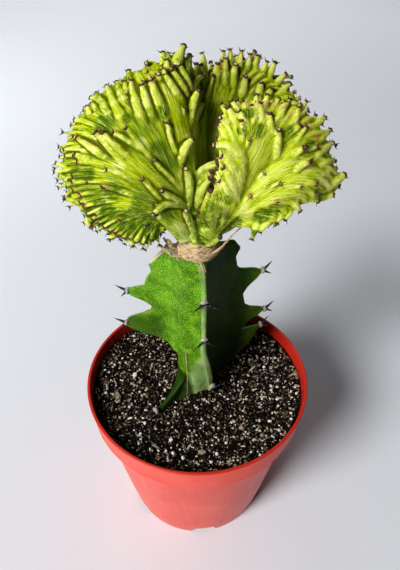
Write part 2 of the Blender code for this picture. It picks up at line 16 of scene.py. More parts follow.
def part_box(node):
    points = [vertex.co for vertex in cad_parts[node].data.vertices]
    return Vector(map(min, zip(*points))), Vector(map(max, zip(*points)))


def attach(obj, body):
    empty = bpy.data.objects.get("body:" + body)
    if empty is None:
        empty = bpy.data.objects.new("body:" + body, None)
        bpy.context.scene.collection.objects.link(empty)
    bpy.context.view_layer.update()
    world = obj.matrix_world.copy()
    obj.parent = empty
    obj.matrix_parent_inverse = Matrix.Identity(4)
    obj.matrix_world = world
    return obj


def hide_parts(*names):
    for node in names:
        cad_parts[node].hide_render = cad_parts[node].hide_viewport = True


bl_info = {
    "name": "Potted Coral Cactus",
    "version": (1, 0, 0),
    "blender": (4, 5, 0),
    "location": "3D View > Sidebar > Cactus",
    "description": "Builds the pot, the potting mix, the grafted stem and the crest",
    "category": "Add Mesh",
}

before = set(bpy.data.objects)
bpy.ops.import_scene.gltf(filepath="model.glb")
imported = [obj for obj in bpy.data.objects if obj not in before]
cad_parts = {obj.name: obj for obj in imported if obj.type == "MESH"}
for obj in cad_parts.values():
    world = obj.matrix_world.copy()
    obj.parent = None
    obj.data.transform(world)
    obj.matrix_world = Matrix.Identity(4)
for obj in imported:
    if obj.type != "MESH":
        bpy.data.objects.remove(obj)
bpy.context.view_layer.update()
MM = 0.001
MERGE_DISTANCE = 0.000001
BODY = "root"
# A spine's radius halfway and at its point, as shares of the one at its root.
SPINE_WAIST = 0.62
SPINE_POINT = 0.08


def box_mm(node):
    """Lowest and highest corner of a node of the frame, in millimetres."""
    low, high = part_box(node)
    return low / MM, high / MM


POT_BOX = box_mm("pot")
CALLUS_BOX = box_mm("graft_callus")

# The photograph's camera, fitted to the pot's ellipses.
PHOTO_SIZE = (400, 570)
FOCAL_PIXELS = 500.0
CAMERA_AIM = Vector((0.95, 0.0, 163.6))
CAMERA_DISTANCE = 234.6
CAMERA_ELEVATION = 40.32
CAMERA_ROLL = 0.47

# Stem wings, as in the frame: compass direction at the top, turn near the soil, reach by height.
TWIST_FROM = 138.0
TWIST_TO = 97.0
CORE_RADIUS = 9.3
VALLEY_RADIUS = {"right": 9.0, "left": 10.8, "front": 8.4}
WING_EDGE_HALF = 0.8
WING_ROOT_SWELL = {"right": 5.0, "left": 5.0, "front": 2.0}
WING_SWELL_RADIUS = 6.0
WING_NAMES = ("right", "left", "front")
WING_FOOT = 91.9
STOCK_TOP = 183.6
WINGS = {
    "left": (166.0, 58.0, [
        (183.6, 15.4), (181.5, 16.6), (172.3, 24.2), (167.6, 22.8), (163.1, 25.6), (157.6, 27.5),
        (155.0, 34.6), (152.2, 36.4), (149.4, 35.0), (147.8, 28.5), (145.4, 23.7), (141.0, 25.4),
        (138.2, 31.0), (134.6, 37.0), (131.8, 38.0), (129.4, 35.2), (128.4, 24.0), (126.4, 16.6),
        (121.0, 11.2), (112.0, 9.8), (106.0, 10.8), (101.0, 16.4), (97.4, 21.4), (94.2, 27.4),
        (93.0, 31.0), (WING_FOOT, 30.0)]),
    "front": (281.0, 32.0, [
        (183.6, 9.4), (180.0, 10.6), (174.0, 13.6), (166.0, 15.6), (160.0, 15.2), (150.0, 15.2),
        (143.0, 16.8), (136.0, 15.4), (124.0, 13.6), (110.0, 11.4), (101.4, 11.2), (98.4, 12.2),
        (95.0, 10.8), (WING_FOOT, 10.2)]),
    "right": (25.0, 9.0, [
        (183.6, 18.6), (179.2, 21.7), (174.7, 19.3), (169.0, 20.4), (166.2, 22.7), (164.4, 30.5),
        (161.0, 35.5), (157.4, 33.0), (153.6, 27.6), (149.4, 25.0), (142.0, 26.4), (139.2, 30.0),
        (136.4, 36.5), (133.2, 39.4), (130.2, 36.0), (128.0, 31.0), (125.0, 26.6), (121.8, 27.0),
        (120.8, 36.0), (119.4, 39.8), (116.0, 38.8), (111.0, 38.0), (106.0, 36.0), (102.0, 30.0),
        (98.0, 23.0), (94.0, 15.0), (WING_FOOT, 11.0)]),
}
# The teeth that carry spines: wing, height and reach of the tip, and how far the pair spreads.
STOCK_TEETH = [
    ("left", 152.2, 36.4, 38.0), ("left", 131.8, 38.0, 38.0), ("left", 93.8, 30.6, 30.0),
    ("front", 165.6, 15.6, 62.0), ("front", 143.0, 16.8, 62.0), ("front", 98.8, 12.4, 62.0),
    ("right", 161.0, 35.5, 38.0), ("right", 133.2, 39.4, 38.0), ("right", 119.2, 39.8, 38.0),
]
LOW_TOOTH = 102.0
SPINE_DROOP = {"left": 0.42, "front": 0.3, "right": 0.0}
# A dry fibre that hangs down the front of the stem.
DRY_FIBRE = [(-5.8, -9.4, 127.0), (-5.6, -10.4, 120.5), (-5.2, -12.0, 109.1), (-5.4, -13.0, 100.0),
             (-5.7, -13.2, 95.2)]

# Crest lobes, as in the frame: three curves give a lobe's form, from the neck over the middle of
# its face to its growing edge. Pitch is the rib spacing along that edge, and fingers are the free
# rib ends in front of it and behind it. Fill is the share of the ribs that stand out in front.
LOBES = {
    "left": {
        "neck": [(-2, -1, 192), (-4, -2, 192), (-3, -1, 193), (-2, 1, 193), (-1, 2, 192)],
        "middle": [(-11, -5, 206), (-15, -7, 209), (-22, -8, 213), (-27, -7, 224), (-25, -4, 233),
                   (-20, 0, 240), (-10, 5, 244), (-4, 10, 239)],
        "edge": [(-17, -2, 203), (-20, -4, 192), (-33, -3, 194), (-43, -2, 200), (-50, 0, 210),
                 (-53, 3, 220), (-50, 6, 230), (-44, 9, 238), (-36, 12, 245), (-26, 14, 250),
                 (-16, 16, 254), (-7, 18, 257), (-2, 22, 249)],
        "pitch": [3.0, 2.6, 2.5, 2.5, 2.5, 2.6, 2.8, 3.2, 3.8, 4.0, 4.0, 3.6],
        "front": [-1.5, -2.0, -3.0, -3.5, -3.5, -2.5, -0.5, 1.0, 2.0, 2.5, 2.0],
        "fill": [1.0, 1.0, 1.0, 1.0, 0.9, 0.6, 0.35, 0.25, 0.2, 0.15, 0.3],
        "rim": [2.5, 2.5, 2.5, 2.8, 3.2, 3.4, 3.4, 3.6, 3.8, 4.2, 4.0],
        "back": [2.5, 2.8, 3.0, 3.2, 3.6, 3.8, 4.2, 4.8, 5.2, 5.6, 5.0],
    },
    "back": {
        "neck": [(-2, 2, 192), (0, 3, 193), (2, 3, 193), (4, 2, 192)],
        "middle": [(-2, 16, 228), (2, 20, 231), (11, 24, 233), (21, 24, 233), (30, 20, 227),
                   (33, 14, 215), (18, 9, 203)],
        "edge": [(-1, 23, 245), (2, 27, 247), (7, 31, 250), (16, 34, 252), (24, 35, 250),
                 (31, 33, 245), (36, 29, 240), (41, 22, 235), (46, 17, 230), (48, 14, 222),
                 (46, 13, 213), (39, 13, 205), (28, 12, 200)],
        "pitch": [3.6, 3.8, 4.0, 4.0, 3.8, 3.4, 3.0, 2.8, 2.8, 3.0],
        "front": [1.0, 1.0, -1.0, -2.5, -3.0, -2.0, 0.5, 2.0, 2.0, 2.0, 2.0],
        "fill": [0.6, 0.2, 0.1, 0.1, 0.1, 0.15, 0.3, 0.8, 1.0, 1.0],
        "rim": [3.0, 3.4, 3.4, 3.0, 3.0, 3.4, 4.0, 4.0, 3.4, 3.0, 2.6],
        "back": [4.0, 6.5, 9.0, 9.0, 9.0, 8.0, 6.0, 5.0, 4.4, 3.6, 3.0],
    },
    "right": {
        "neck": [(3, -1, 192), (3, -2, 193), (4, -3, 193), (5, -3, 193), (6, -2, 191)],
        "middle": [(7, -9, 208), (13, -13, 224), (15, -12, 233), (26, -9, 232), (29, -12, 223),
                   (15, -10, 204)],
        "edge": [(10, -9, 213), (10, -11, 224), (9, -12, 233), (8, -11, 242), (11, -8, 248),
                 (17, -5, 250), (26, -2, 249), (35, 0, 246), (43, 2, 239), (48, 2, 231),
                 (51, 0, 222), (48, -4, 216), (39, -8, 213), (30, -11, 208), (22, -11, 203)],
        "pitch": [2.4, 2.4, 2.6, 3.4, 4.0, 4.0, 3.8, 3.4, 3.0, 3.0, 3.6, 4.4, 5.0],
        "front": [1.0, 1.0, 1.2, 2.0, 1.0, 0.0, -0.5, 0.0, 0.5, 0.0, -1.0, 0.0, 0.0],
        "fill": [0.6, 0.5, 0.5, 0.3, 0.4, 0.4, 0.5, 0.5, 0.5, 0.4, 0.3, 0.1, 0.1],
        "rim": [2.4, 2.4, 2.6, 3.6, 3.0, 2.2, 2.2, 2.6, 3.0, 2.6, 1.6, 1.4, 1.6],
        "back": [2.4, 2.4, 2.8, 3.4, 3.0, 2.4, 3.4, 5.4, 6.4, 5.4, 2.8, 2.2, 2.4],
    },
}
LOBE_HALF_AT_NECK = 5.2
LOBE_HALF_AT_EDGE = 3.0
CREST_SEED = 41
# Areoles on the lobes' faces, at photograph pixels.
FACE_AREOLES = {
    "left": [(126, 128), (167, 122), (183, 108), (96, 134), (103, 133), (75, 138), (155, 160),
             (106, 170), (75, 155), (143, 179), (104, 187), (162, 191), (73, 182), (81, 194),
             (85, 203), (96, 213), (119, 219), (153, 203), (145, 224), (120, 235)],
    "right": [(248, 139), (278, 129), (305, 147), (310, 161), (265, 173), (279, 183), (300, 187),
              (250, 195), (277, 202)],
}
# Ribs that the photograph shows: its pixels at their root, middle and tip, each as columns and rows
# from its corner, then the radius in mm and how far the tip stands off the face.
PHOTO_RIBS = {
    "left": [
        (182, 107, 176, 94, 165, 74, 2.0, 0.6), (186, 98, 181, 85, 172, 70, 1.8, 0.6),
        (188, 92, 186, 80, 179, 65, 1.9, 0.6), (171, 136, 160, 105, 151, 81, 2.2, 0.8),
        (156, 134, 148, 107, 142, 85, 1.9, 0.8), (147, 138, 137, 105, 128.5, 72, 1.9, 1.0),
        (127, 108, 122, 96, 117, 83, 1.9, 0.8), (131, 140, 117, 108, 107, 87, 2.1, 0.8),
        (116, 128, 106, 109, 97, 94, 1.9, 0.8), (101, 115, 96, 108, 92, 104, 1.5, 0.8),
        (93, 118, 90, 112, 87, 107, 1.4, 0.8), (138, 176, 114, 151, 96, 133, 1.9, 1.1),
        (142, 168, 119, 149, 103, 133, 1.7, 1.1), (124, 168, 98, 152, 77, 138, 1.6, 0.9),
        (97, 162, 86, 159, 75, 155, 1.4, 1.0), (186, 208, 173, 199, 162, 191, 1.8, 1.2),
        (187, 210, 170, 203, 154, 214, 1.9, 2.6), (186, 212, 189, 184, 186, 169, 1.9, 2.2),
        (178, 170, 183, 152, 192.5, 139, 2.0, 3.4), (187, 127, 191, 108, 198, 92, 2.2, 3.0),
        (193.5, 237, 190, 225, 186, 211, 2.4, 4.0), (160, 69, 152, 65, 146, 63, 1.5, 1.0),
        (161, 76, 154, 74, 148, 72, 1.1, 0.6), (164, 73, 163.5, 62, 162.5, 53, 1.5, 0.6),
        (169, 68, 168, 60, 168, 53.5, 1.3, 0.0), (171, 76, 177, 62, 183.5, 46.5, 2.3, 0.0),
        (176, 72, 178, 63, 178, 55, 1.5, 0.6), (181, 80, 186, 68, 189.5, 56, 2.2, -5.0),
        (166, 77, 167, 68, 166.5, 60.5, 1.4, 1.6), (172, 79, 173, 72, 172.5, 66, 1.4, 1.6),
        (165, 82, 165, 76, 165, 71, 1.5, 1.6), (160, 85, 159, 79, 158.5, 74.5, 1.4, 1.2),
        (160, 168, 142, 148, 126.5, 129, 1.2, 0.0), (152, 158, 132, 143, 113, 133, 1.2, 0.0),
        (181, 168, 172, 143, 167, 123, 1.2, 0.0), (182, 192, 167, 174, 155, 161, 1.1, 0.0),
        (172, 212, 156, 194, 143, 180, 1.1, 0.0), (150, 190, 128, 177, 107, 170, 1.1, 0.0),
        (140, 196, 122, 191, 105, 187.5, 1.1, 0.0), (176, 72, 175, 62, 174.5, 54, 1.1, 0.6),
        (183, 78, 181, 67, 178, 58, 1.1, 1.2), (168, 80, 166, 74, 162, 69, 1.1, 1.2),
        (177, 84, 175, 76, 173, 68, 1.1, 1.3), (135, 100, 132, 90, 131, 80.5, 1.1, 0.8),
        (128, 98, 126, 90, 124.5, 82, 1.1, 0.8), (147, 98, 145, 90, 144, 81.5, 1.1, 0.8),
        (157, 92, 154, 85, 153, 78, 1.1, 1.0), (74, 170, 64, 166, 56, 163, 1.2, 0.0),
        (72, 182, 65, 178, 59, 176, 1.1, 0.0), (78, 198, 70, 199, 64, 199, 1.3, 0.0),
        (92, 218, 88, 222, 91, 227, 1.4, 0.6), (118, 232, 113, 236, 109, 240, 1.5, 0.6),
        (132, 236, 132, 241, 133, 246, 1.5, 0.4),
    ],
    "back": [
        (205, 84, 204, 64, 202, 53.5, 1.4, 0.0), (198, 88, 197, 75, 196, 64, 1.7, 0.6),
        (205, 90, 203, 76, 201, 65, 1.5, 1.0), (214, 92, 216, 76, 217.5, 64, 2.0, 1.4),
        (222, 98, 224, 77, 225.5, 59, 2.1, 1.6), (224, 72, 223.5, 61, 223.5, 51.5, 1.3, 0.0),
        (230, 72, 230.5, 60, 230, 50, 1.4, 0.0), (229, 96, 233, 79, 235.6, 65, 2.1, 1.6),
        (238, 76, 240, 63, 241.6, 51.5, 1.4, 0.0), (236, 70, 237, 62, 237, 56, 1.1, -1.0),
        (239, 104, 243, 90, 245.6, 77, 2.1, 1.8), (245, 76, 248, 65, 250.3, 54.7, 1.4, 0.0),
        (251, 78, 255, 66, 257.7, 56, 1.5, 0.0), (254, 104, 259, 92, 261, 82.5, 2.0, 1.8),
        (258, 82, 263, 71, 267, 62, 1.5, 0.0), (265, 84, 270, 73, 275, 62.8, 1.8, 0.0),
        (271, 90, 279, 81, 285.8, 74, 1.6, 0.0), (275, 99, 283, 90, 290.5, 84, 1.5, 0.0),
        (286, 102, 291, 95, 295, 92, 1.3, 0.6), (290, 106, 296, 100, 300, 98, 1.3, 0.6),
        (298, 111, 303, 106, 306.5, 101.5, 1.4, 0.0), (262, 102, 268, 95, 272, 88.5, 1.8, 1.4),
    ],
    "right": [
        (238, 134, 234, 119, 228, 107.5, 1.6, 1.0), (240, 118, 236, 108, 231.6, 101, 1.3, 0.4),
        (232, 128, 226, 122, 220.5, 118, 1.4, 0.6), (243, 168, 236, 149, 215, 145, 2.0, 0.8),
        (241, 186, 234, 168, 222, 157, 1.9, 0.8), (237, 198, 231, 180, 223, 168, 1.7, 0.8),
        (233, 206, 228, 190, 220, 181, 1.6, 0.6), (250, 141, 245, 124, 239, 111.5, 1.9, 0.8),
        (257, 130, 254, 116, 252, 106, 1.6, 0.2), (261, 134, 260.5, 118, 260, 104, 1.7, 0.2),
        (272, 139, 270, 126, 269.7, 113.5, 1.7, 1.0), (272, 164, 277, 147, 279, 130, 1.8, 1.2),
        (276, 123, 281, 112, 285.8, 103, 1.6, 0.6), (290, 131, 295, 118, 299, 108.5, 1.7, 0.6),
        (288, 149, 298, 136, 306, 127, 1.6, 0.4), (284, 161, 295, 153, 304, 148, 1.7, 1.8),
        (290, 173, 300, 166, 310, 162, 1.5, 1.4), (302, 136, 314, 126, 324.7, 117.7, 1.7, -1.0),
        (306, 149, 319, 139, 330, 130, 1.7, -1.0), (312, 157, 322, 150, 333, 143, 1.6, -1.0),
        (317, 166, 326, 162, 334, 160.5, 1.4, -0.5), (320, 174, 328, 170, 336, 168.6, 1.5, -0.5),
        (318, 188, 332, 181, 344, 175.3, 3.0, -2.0), (310, 198, 323, 196, 333, 194.7, 2.0, -1.0),
        (322, 192, 331, 187, 338, 185, 2.6, -1.6), (290, 210, 288, 214, 285, 219.5, 1.6, 0.0),
        (283, 213, 280, 217, 277, 222.5, 1.6, 0.0), (270, 217, 265, 224, 260, 231, 1.8, 0.0),
        (258, 221, 255, 230, 252, 239, 1.4, 0.0),
    ],
}
# Patches of colour on the crest's front, at photograph pixels: centre and radius. Green ones are
# partly leaf green and partly painted shade, as where a tubercle casts its shadow; cream ones are
# partly the flesh's cream and partly painted highlight; the fold ones are painted shade in the neck;
# and scars are dry and tan.
GREEN_AND_SHADE_PATCHES = [
    (104, 123, 8), (127, 118, 5), (159, 150, 9), (77, 173, 6), (88, 175, 7), (112, 192, 8),
    (142, 202, 9), (135, 214, 9), (147, 222, 9), (109, 212, 8), (122, 214, 6), (152, 232, 9),
    (163, 112, 6), (168, 162, 7), (128, 228, 8), (100, 203, 6), (170, 214, 6), (258, 131, 8),
    (288, 132, 7), (249, 113, 6), (310, 144, 5), (321, 195, 7), (262, 215, 8), (274, 210, 6),
    (252, 236, 7), (240, 131, 4), (236, 222, 6), (228, 200, 5),
]
CREAM_AND_HIGHLIGHT_PATCHES = [
    (118, 166, 7), (141, 143, 6), (100, 138, 8), (184, 174, 7), (185, 190, 8), (180, 204, 7),
    (188, 138, 5), (136, 105, 8), (170, 88, 8), (152, 98, 7), (92, 146, 8), (80, 150, 6),
    (262, 115, 7), (271, 125, 6), (277, 146, 7), (236, 178, 7), (235, 192, 7), (231, 154, 7),
    (263, 177, 5), (302, 164, 8), (326, 180, 7), (276, 200, 5), (246, 214, 8), (222, 186, 5),
    (192, 222, 6), (178, 230, 8), (186, 238, 7), (188, 228, 7), (186, 212, 6),
]
FOLD_SHADE_PATCHES = [
    (199, 215, 4), (200, 224, 4), (206, 216, 7), (213, 208, 7), (212, 220, 8), (219, 197, 6),
    (220, 212, 8), (226, 216, 5), (227, 226, 5), (217, 228, 6),
]
SCAR_PATCHES = [
    (248, 105, 4), (258, 104, 4), (269, 104, 5), (281, 106, 5), (291, 112, 4), (302, 119, 5),
    (310, 128, 5), (316, 138, 4), (322, 149, 4),
]
# Stout ribs in the middle of the crest: the same pixels, then how far back the root and the tip
# stand, and the radius.
CENTRE_RIBS = [
    (214, 239, 216, 223, 218.5, 207, -8.5, -11.0, 2.7),
    (214, 236, 219, 222, 226, 208, -6.0, -9.0, 2.8),
    (196, 218, 199, 198, 204, 182, -3.0, -1.0, 3.0),
    (192, 228, 194, 208, 197, 192, -2.0, 0.0, 2.8),
    (195, 190, 203, 173, 218, 163, 0.0, -3.0, 2.6),
    (198, 198, 203, 182, 211.5, 171.5, -1.0, -3.5, 2.3),
    (196, 206, 202, 191, 210, 178.6, -2.0, -4.5, 2.0),
    (204, 240, 206, 216, 211, 191.5, -5.0, -6.5, 3.0),
    (213, 230, 219, 211, 224, 195, -5.0, -8.5, 2.5),
    (214, 234, 219, 219, 222.5, 205, -6.0, -9.0, 2.1),
    (203, 244, 212, 241, 220, 237, -6.0, -9.5, 2.1),
    (190, 196, 197, 186, 201, 176, 3.0, 0.0, 2.2),
    (198, 243, 199, 228, 200, 212, -5.0, -4.5, 2.3),
    (192, 240, 186, 226, 176, 214, -2.0, -4.0, 1.8),
]


def smooth_step(value):
    value = np.clip(value, 0.0, 1.0)
    return value * value * (3.0 - 2.0 * value)


def metres(point):
    return Vector(point) * MM


# The photograph's camera

def camera_axes():
    """The camera's right, up and back directions and its place, in millimetres."""
    elevation = radians(CAMERA_ELEVATION)
    roll = radians(CAMERA_ROLL)
    back = Vector((0.0, -cos(elevation), sin(elevation)))
    level = Vector((1.0, 0.0, 0.0))
    rise = back.cross(level)
    right = level * cos(roll) + rise * sin(roll)
    up = rise * cos(roll) - level * sin(roll)
    return right, up, back, CAMERA_AIM + back * CAMERA_DISTANCE


def photo_pixels(points):
    """Where points, in millimetres, fall in the photograph."""
    right, up, back, eye = camera_axes()
    offset = np.asarray(points, float) - np.array(eye)
    depth = -(offset @ np.array(back))
    across = PHOTO_SIZE[0] / 2 + FOCAL_PIXELS * (offset @ np.array(right)) / depth
    down = PHOTO_SIZE[1] / 2 - FOCAL_PIXELS * (offset @ np.array(up)) / depth
    return np.stack([across, down], axis=-1)


# Meshes

def made_mesh(name, bm):
    """Turn a bmesh into a mesh."""
    mesh = bpy.data.meshes.new(name)
    bm.to_mesh(mesh)
    bm.free()
    return mesh


def made_object(name, data):
    """Put new data into the scene as an object."""
    thing = bpy.data.objects.new(name, data)
    bpy.context.scene.collection.objects.link(thing)
    return thing


def finish_mesh(name, bm, material, smooth_angle=None):
    """Turn a bmesh into an object at the origin."""
    mesh = made_mesh(name, bm)
    thing = made_object(name, mesh)
    mesh.materials.append(material)
    if smooth_angle is not None:
        mesh.shade_smooth()
        mesh.set_sharp_from_angle(angle=radians(smooth_angle))
    return thing


def stamp_shapes(name, template, copies, material, smooth_angle):
    """One object of many copies of a mesh, each copy given as its points in millimetres."""
    bm = bmesh.new()
    for _ in copies:
        bm.from_mesh(template)
    bpy.data.meshes.remove(template)
    thing = finish_mesh(name, bm, material, smooth_angle)
    set_places(thing.data, np.concatenate(copies) * MM)
    return thing


def apply_modifier(thing, kind, **settings):
    modifier = thing.modifiers.new(kind.lower(), kind)
    for key, value in settings.items():
        setattr(modifier, key, value)
    with bpy.context.temp_override(object=thing, active_object=thing):
        bpy.ops.object.modifier_apply(modifier=modifier.name)


def place_piece(thing, node):
    """Let a piece ride on the body and, if a node is given, stand for it."""
    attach(thing, BODY)
    if node:
        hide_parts(node)


def get_places(mesh):
    places = np.empty(len(mesh.vertices) * 3, dtype=np.float32)
    mesh.vertices.foreach_get("co", places)
    return places.reshape(-1, 3).astype(float)


def set_places(mesh, places):
    mesh.vertices.foreach_set("co", places.astype(np.float32).ravel())
    mesh.update()


def add_value(mesh, name, values):
    attribute = mesh.attributes.new(name, "FLOAT", "POINT")
    attribute.data.foreach_set("value", np.asarray(values, np.float32))


def add_vector(mesh, name, values):
    attribute = mesh.attributes.new(name, "FLOAT_VECTOR", "POINT")
    attribute.data.foreach_set("vector", np.asarray(values, np.float32).ravel())


def spin_profile(profile, steps, closed):
    """Turn a profile of (radius, height) points round the pot's axis."""
    bm = bmesh.new()
    verts = [bm.verts.new(metres((radius, 0.0, height))) for radius, height in profile]
    edges = [bm.edges.new(pair) for pair in zip(verts, verts[1:])]
    if closed:
        edges.append(bm.edges.new((verts[-1], verts[0])))
    bmesh.ops.spin(bm, geom=verts + edges, cent=(0, 0, 0), axis=(0, 0, 1), angle=2.0 * pi,
                   steps=steps, use_merge=True)
    bmesh.ops.remove_doubles(bm, verts=bm.verts, dist=MERGE_DISTANCE)
    bmesh.ops.recalc_face_normals(bm, faces=bm.faces)
    return bm


def add_cone(bm, start, end, start_radius, end_radius, sides):
    """Add a closed tapered prism between two points, in millimetres."""
    start = Vector(start)
    end = Vector(end)
    made = bmesh.ops.create_cone(bm, cap_ends=True, segments=sides, radius1=start_radius * MM,
                                 radius2=end_radius * MM, depth=(end - start).length * MM)
    turn = (end - start).to_track_quat("Z", "Y").to_matrix().to_4x4()
    turn.translation = metres((start + end) / 2.0)
    bmesh.ops.transform(bm, verts=made["verts"], matrix=turn)


def add_spine(bm, start, direction, length, radius, sides, bend):
    """Add a slender spine of two tapering stretches, the second bent a little upwards."""
    direction = Vector(direction).normalized()
    middle = Vector(start) + direction * length * 0.5
    end = middle + (direction + Vector((0, 0, bend))).normalized() * length * 0.5
    waist = radius * SPINE_WAIST
    add_cone(bm, start, middle, radius, waist, sides)
    add_cone(bm, middle, end, waist, radius * SPINE_POINT, sides)


def four_point_curve(p, f):
    """Points between the second and third of four rows of points, for shares f from 0 to 1."""
    return 0.5 * (2.0 * p[1] + (p[2] - p[0]) * f
                  + (2.0 * p[0] - 5.0 * p[1] + 4.0 * p[2] - p[3]) * f ** 2
                  + (3.0 * p[1] - p[0] - 3.0 * p[2] + p[3]) * f ** 3)


def read_curve(points, shares):
    """Points on the smooth curve through the given points, for shares from 0 to 1."""
    points = np.asarray(points, float)
    last = len(points) - 1
    place = np.clip(shares, 0.0, 1.0) * last
    first = np.minimum(place.astype(int), last - 1)
    four = [points[np.clip(first + k, 0, last)] for k in (-1, 0, 1, 2)]
    return four_point_curve(four, (place - first)[..., None])


def bow(first, middle, last, share):
    """Points on the bow through three points, for shares from 0 to 1."""
    return (first * (1.0 - share) * (1.0 - 2.0 * share) + middle * 4.0 * share * (1.0 - share)
            + last * share * (2.0 * share - 1.0))


def read_even(values, shares):
    """Straight-line reading of evenly spaced values, for shares from 0 to 1."""
    return np.interp(shares, np.linspace(0.0, 1.0, len(values)), values)


# Materials

class Finish:
    """A material in the making, with a short way to add each of its nodes.

    Where a method takes a value or a colour, another node's output will do as well.
    """

    def __init__(self, name, colour):
        self.material = bpy.data.materials.new(name)
        self.material.use_nodes = True
        self.material.diffuse_color = (*colour, 1.0)
        self.tree = self.material.node_tree
        self.shader = self.tree.nodes["Principled BSDF"]
        self.places = self.add("ShaderNodeTexCoord").outputs["Object"]

    def feed(self, socket, value):
        if isinstance(value, bpy.types.NodeSocket):
            self.tree.links.new(value, socket)
        else:
            socket.default_value = value

    def add(self, kind, inputs=None, **settings):
        made = self.tree.nodes.new(kind)
        for key, value in settings.items():
            setattr(made, key, value)
        for key, value in (inputs or {}).items():
            self.feed(made.inputs[key], value)
        return made

    def mark(self, name, output="Fac"):
        """Read one of the mesh's attributes."""
        return self.add("ShaderNodeAttribute", attribute_name=name).outputs[output]

    def parts(self, vector):
        return self.add("ShaderNodeSeparateXYZ", {"Vector": vector}).outputs

    def noise(self, scale, detail=3.0, places=None, roughness=0.55, distortion=0.0):
        return self.add("ShaderNodeTexNoise", {
            "Vector": self.places if places is None else places, "Scale": scale,
            "Detail": detail, "Roughness": roughness, "Distortion": distortion}).outputs["Fac"]

    def streaks(self, places, stretch, detail, shift=(0.0, 0.0, 0.0), **settings):
        """Noise over places that are stretched and shifted first."""
        drawn = self.add("ShaderNodeMapping", {"Vector": places, "Scale": stretch,
                                               "Location": shift}).outputs["Vector"]
        return self.noise(1.0, detail, drawn, **settings)

    def cells(self, scale):
        return self.add("ShaderNodeTexVoronoi", {"Vector": self.places, "Scale": scale}).outputs

    def ramp(self, value, low, high, start=0.0, end=1.0):
        """Bring a value from the range low to high into the range start to end."""
        return self.add("ShaderNodeMapRange", {
            "Value": value, "From Min": low, "From Max": high, "To Min": start, "To Max": end,
        }, interpolation_type="SMOOTHSTEP").outputs["Result"]

    def combine(self, operation, first, second):
        return self.add("ShaderNodeMath", {0: first, 1: second}, operation=operation).outputs[0]

    def times(self, first, second):
        return self.combine("MULTIPLY", first, second)

    def plus(self, first, second):
        return self.combine("ADD", first, second)

    def weighted(self, *pairs):
        """The sum of values, each multiplied by its weight."""
        total = self.times(*pairs[0])
        for pair in pairs[1:]:
            total = self.plus(total, self.times(*pair))
        return total

    def blend(self, share, first, second):
        """Mix two colours."""
        made = self.add("ShaderNodeMix", {0: share}, data_type="RGBA")
        for key, colour in ((6, first), (7, second)):
            self.feed(made.inputs[key], (*colour, 1.0) if isinstance(colour, tuple) else colour)
        return made.outputs[2]

    def layers(self, tint, *layers):
        """Lay colours over a first one, each over the share of the surface given before it."""
        for share, colour in layers:
            tint = self.blend(share, tint, colour)
        return tint

    def surface(self, colour, roughness, specular=0.5):
        self.feed(self.shader.inputs["Base Color"], colour)
        self.feed(self.shader.inputs["Roughness"], roughness)
        self.shader.inputs["Specular IOR Level"].default_value = specular

    def flesh(self, weight, radius_mm, colour):
        """Light that enters the skin and leaves it again close by."""
        self.shader.inputs["Subsurface Weight"].default_value = weight
        self.shader.inputs["Subsurface Radius"].default_value = colour
        self.shader.inputs["Subsurface Scale"].default_value = radius_mm * MM

    def bump(self, height, strength, distance):
        made = self.add("ShaderNodeBump", {"Height": height, "Strength": strength,
                                           "Distance": distance})
        self.tree.links.new(made.outputs["Normal"], self.shader.inputs["Normal"])


# Properties

def colour_property(name, description, default):
    return FloatVectorProperty(name=name, description=description, default=default,
                               subtype="COLOR", min=0.0, max=1.0)


def length_property(name, description, default, **limits):
    return FloatProperty(name=name, description=description, default=default, unit="LENGTH",
                         **limits)


# Pot

class PotLooks(bpy.types.PropertyGroup):
    height: length_property("Height", "Overall height", POT_BOX[1].z * MM)
    rim_radius: length_property("Rim radius", "Outside radius of the lip", POT_BOX[1].x * MM)
    base_radius: length_property("Base radius", "Outside radius of the foot", 0.042)
    colour: colour_property("Colour", "Colour of the plastic", (0.81, 0.114, 0.078))


POT_STEPS = 160
LIP_HEIGHT = 1.3
LIP_ROUNDING = 0.55
BAND_FOOT = 84.5
BAND_FOOT_RADIUS = 58.3
BAND_TOP_RADIUS = 59.75
BAND_WALL = 1.7
BAND_STEP = 1.6
BODY_TOP_RADIUS = 54.7
BODY_BULGE = 0.5
WALL = 1.6
FLOOR_UNDERSIDE = 5.2
FLOOR_TOP = 6.8
FOOT_RING_WIDTH = 3.0
CENTRE_HOLE_RADIUS = 5.0
DRAIN_HOLES = 6
DRAIN_HOLE_RADIUS = 4.0
DRAIN_HOLE_CIRCLE = 26.0
FOOT_NOTCHES = 6
NOTCH_WIDTH = 16.0
NOTCH_TOP_SHARE = 0.74
NOTCH_HEIGHT = 6.0
NOTCH_TURN = 6.0
DRAIN_HOLE_SIDES = 32
# How far the body swells between its foot and its band: heights, and shares of the bulge.
BODY_SWELL = ((12.0, 0.6), (28.0, 1.0), (50.0, 1.0), (68.0, 0.6))
POT_SHARP_ANGLE = 38
# The rim's inside and the lip's top are painted a deeper, more saturated red: the plastic is the
# same, and the difference is painted light, how the light and the outside's pale sheen show it.
# Radii and heights in metres at which the painted red starts and is full. Dust lies on the foot, up
# to the first of its heights.
PAINTED_RED_RADII = (0.05865, 0.05845)
PAINTED_RED_HEIGHTS = (0.0895, 0.0897)
LIP_HEIGHTS = (0.0990, 0.0995)
DUST_HEIGHTS = (0.012, 0.0)
PAINTED_DEEP_RED = (0.60, 0.036, 0.018)
DUST = (0.42, 0.22, 0.17)


def arc(centre, radius, start, end, steps=4):
    """Points on an arc in a profile's plane, from one angle to another in degrees."""
    points = []
    for i in range(steps + 1):
        angle = radians(start + (end - start) * i / steps)
        points.append((centre[0] + radius * cos(angle), centre[1] + radius * sin(angle)))
    return points


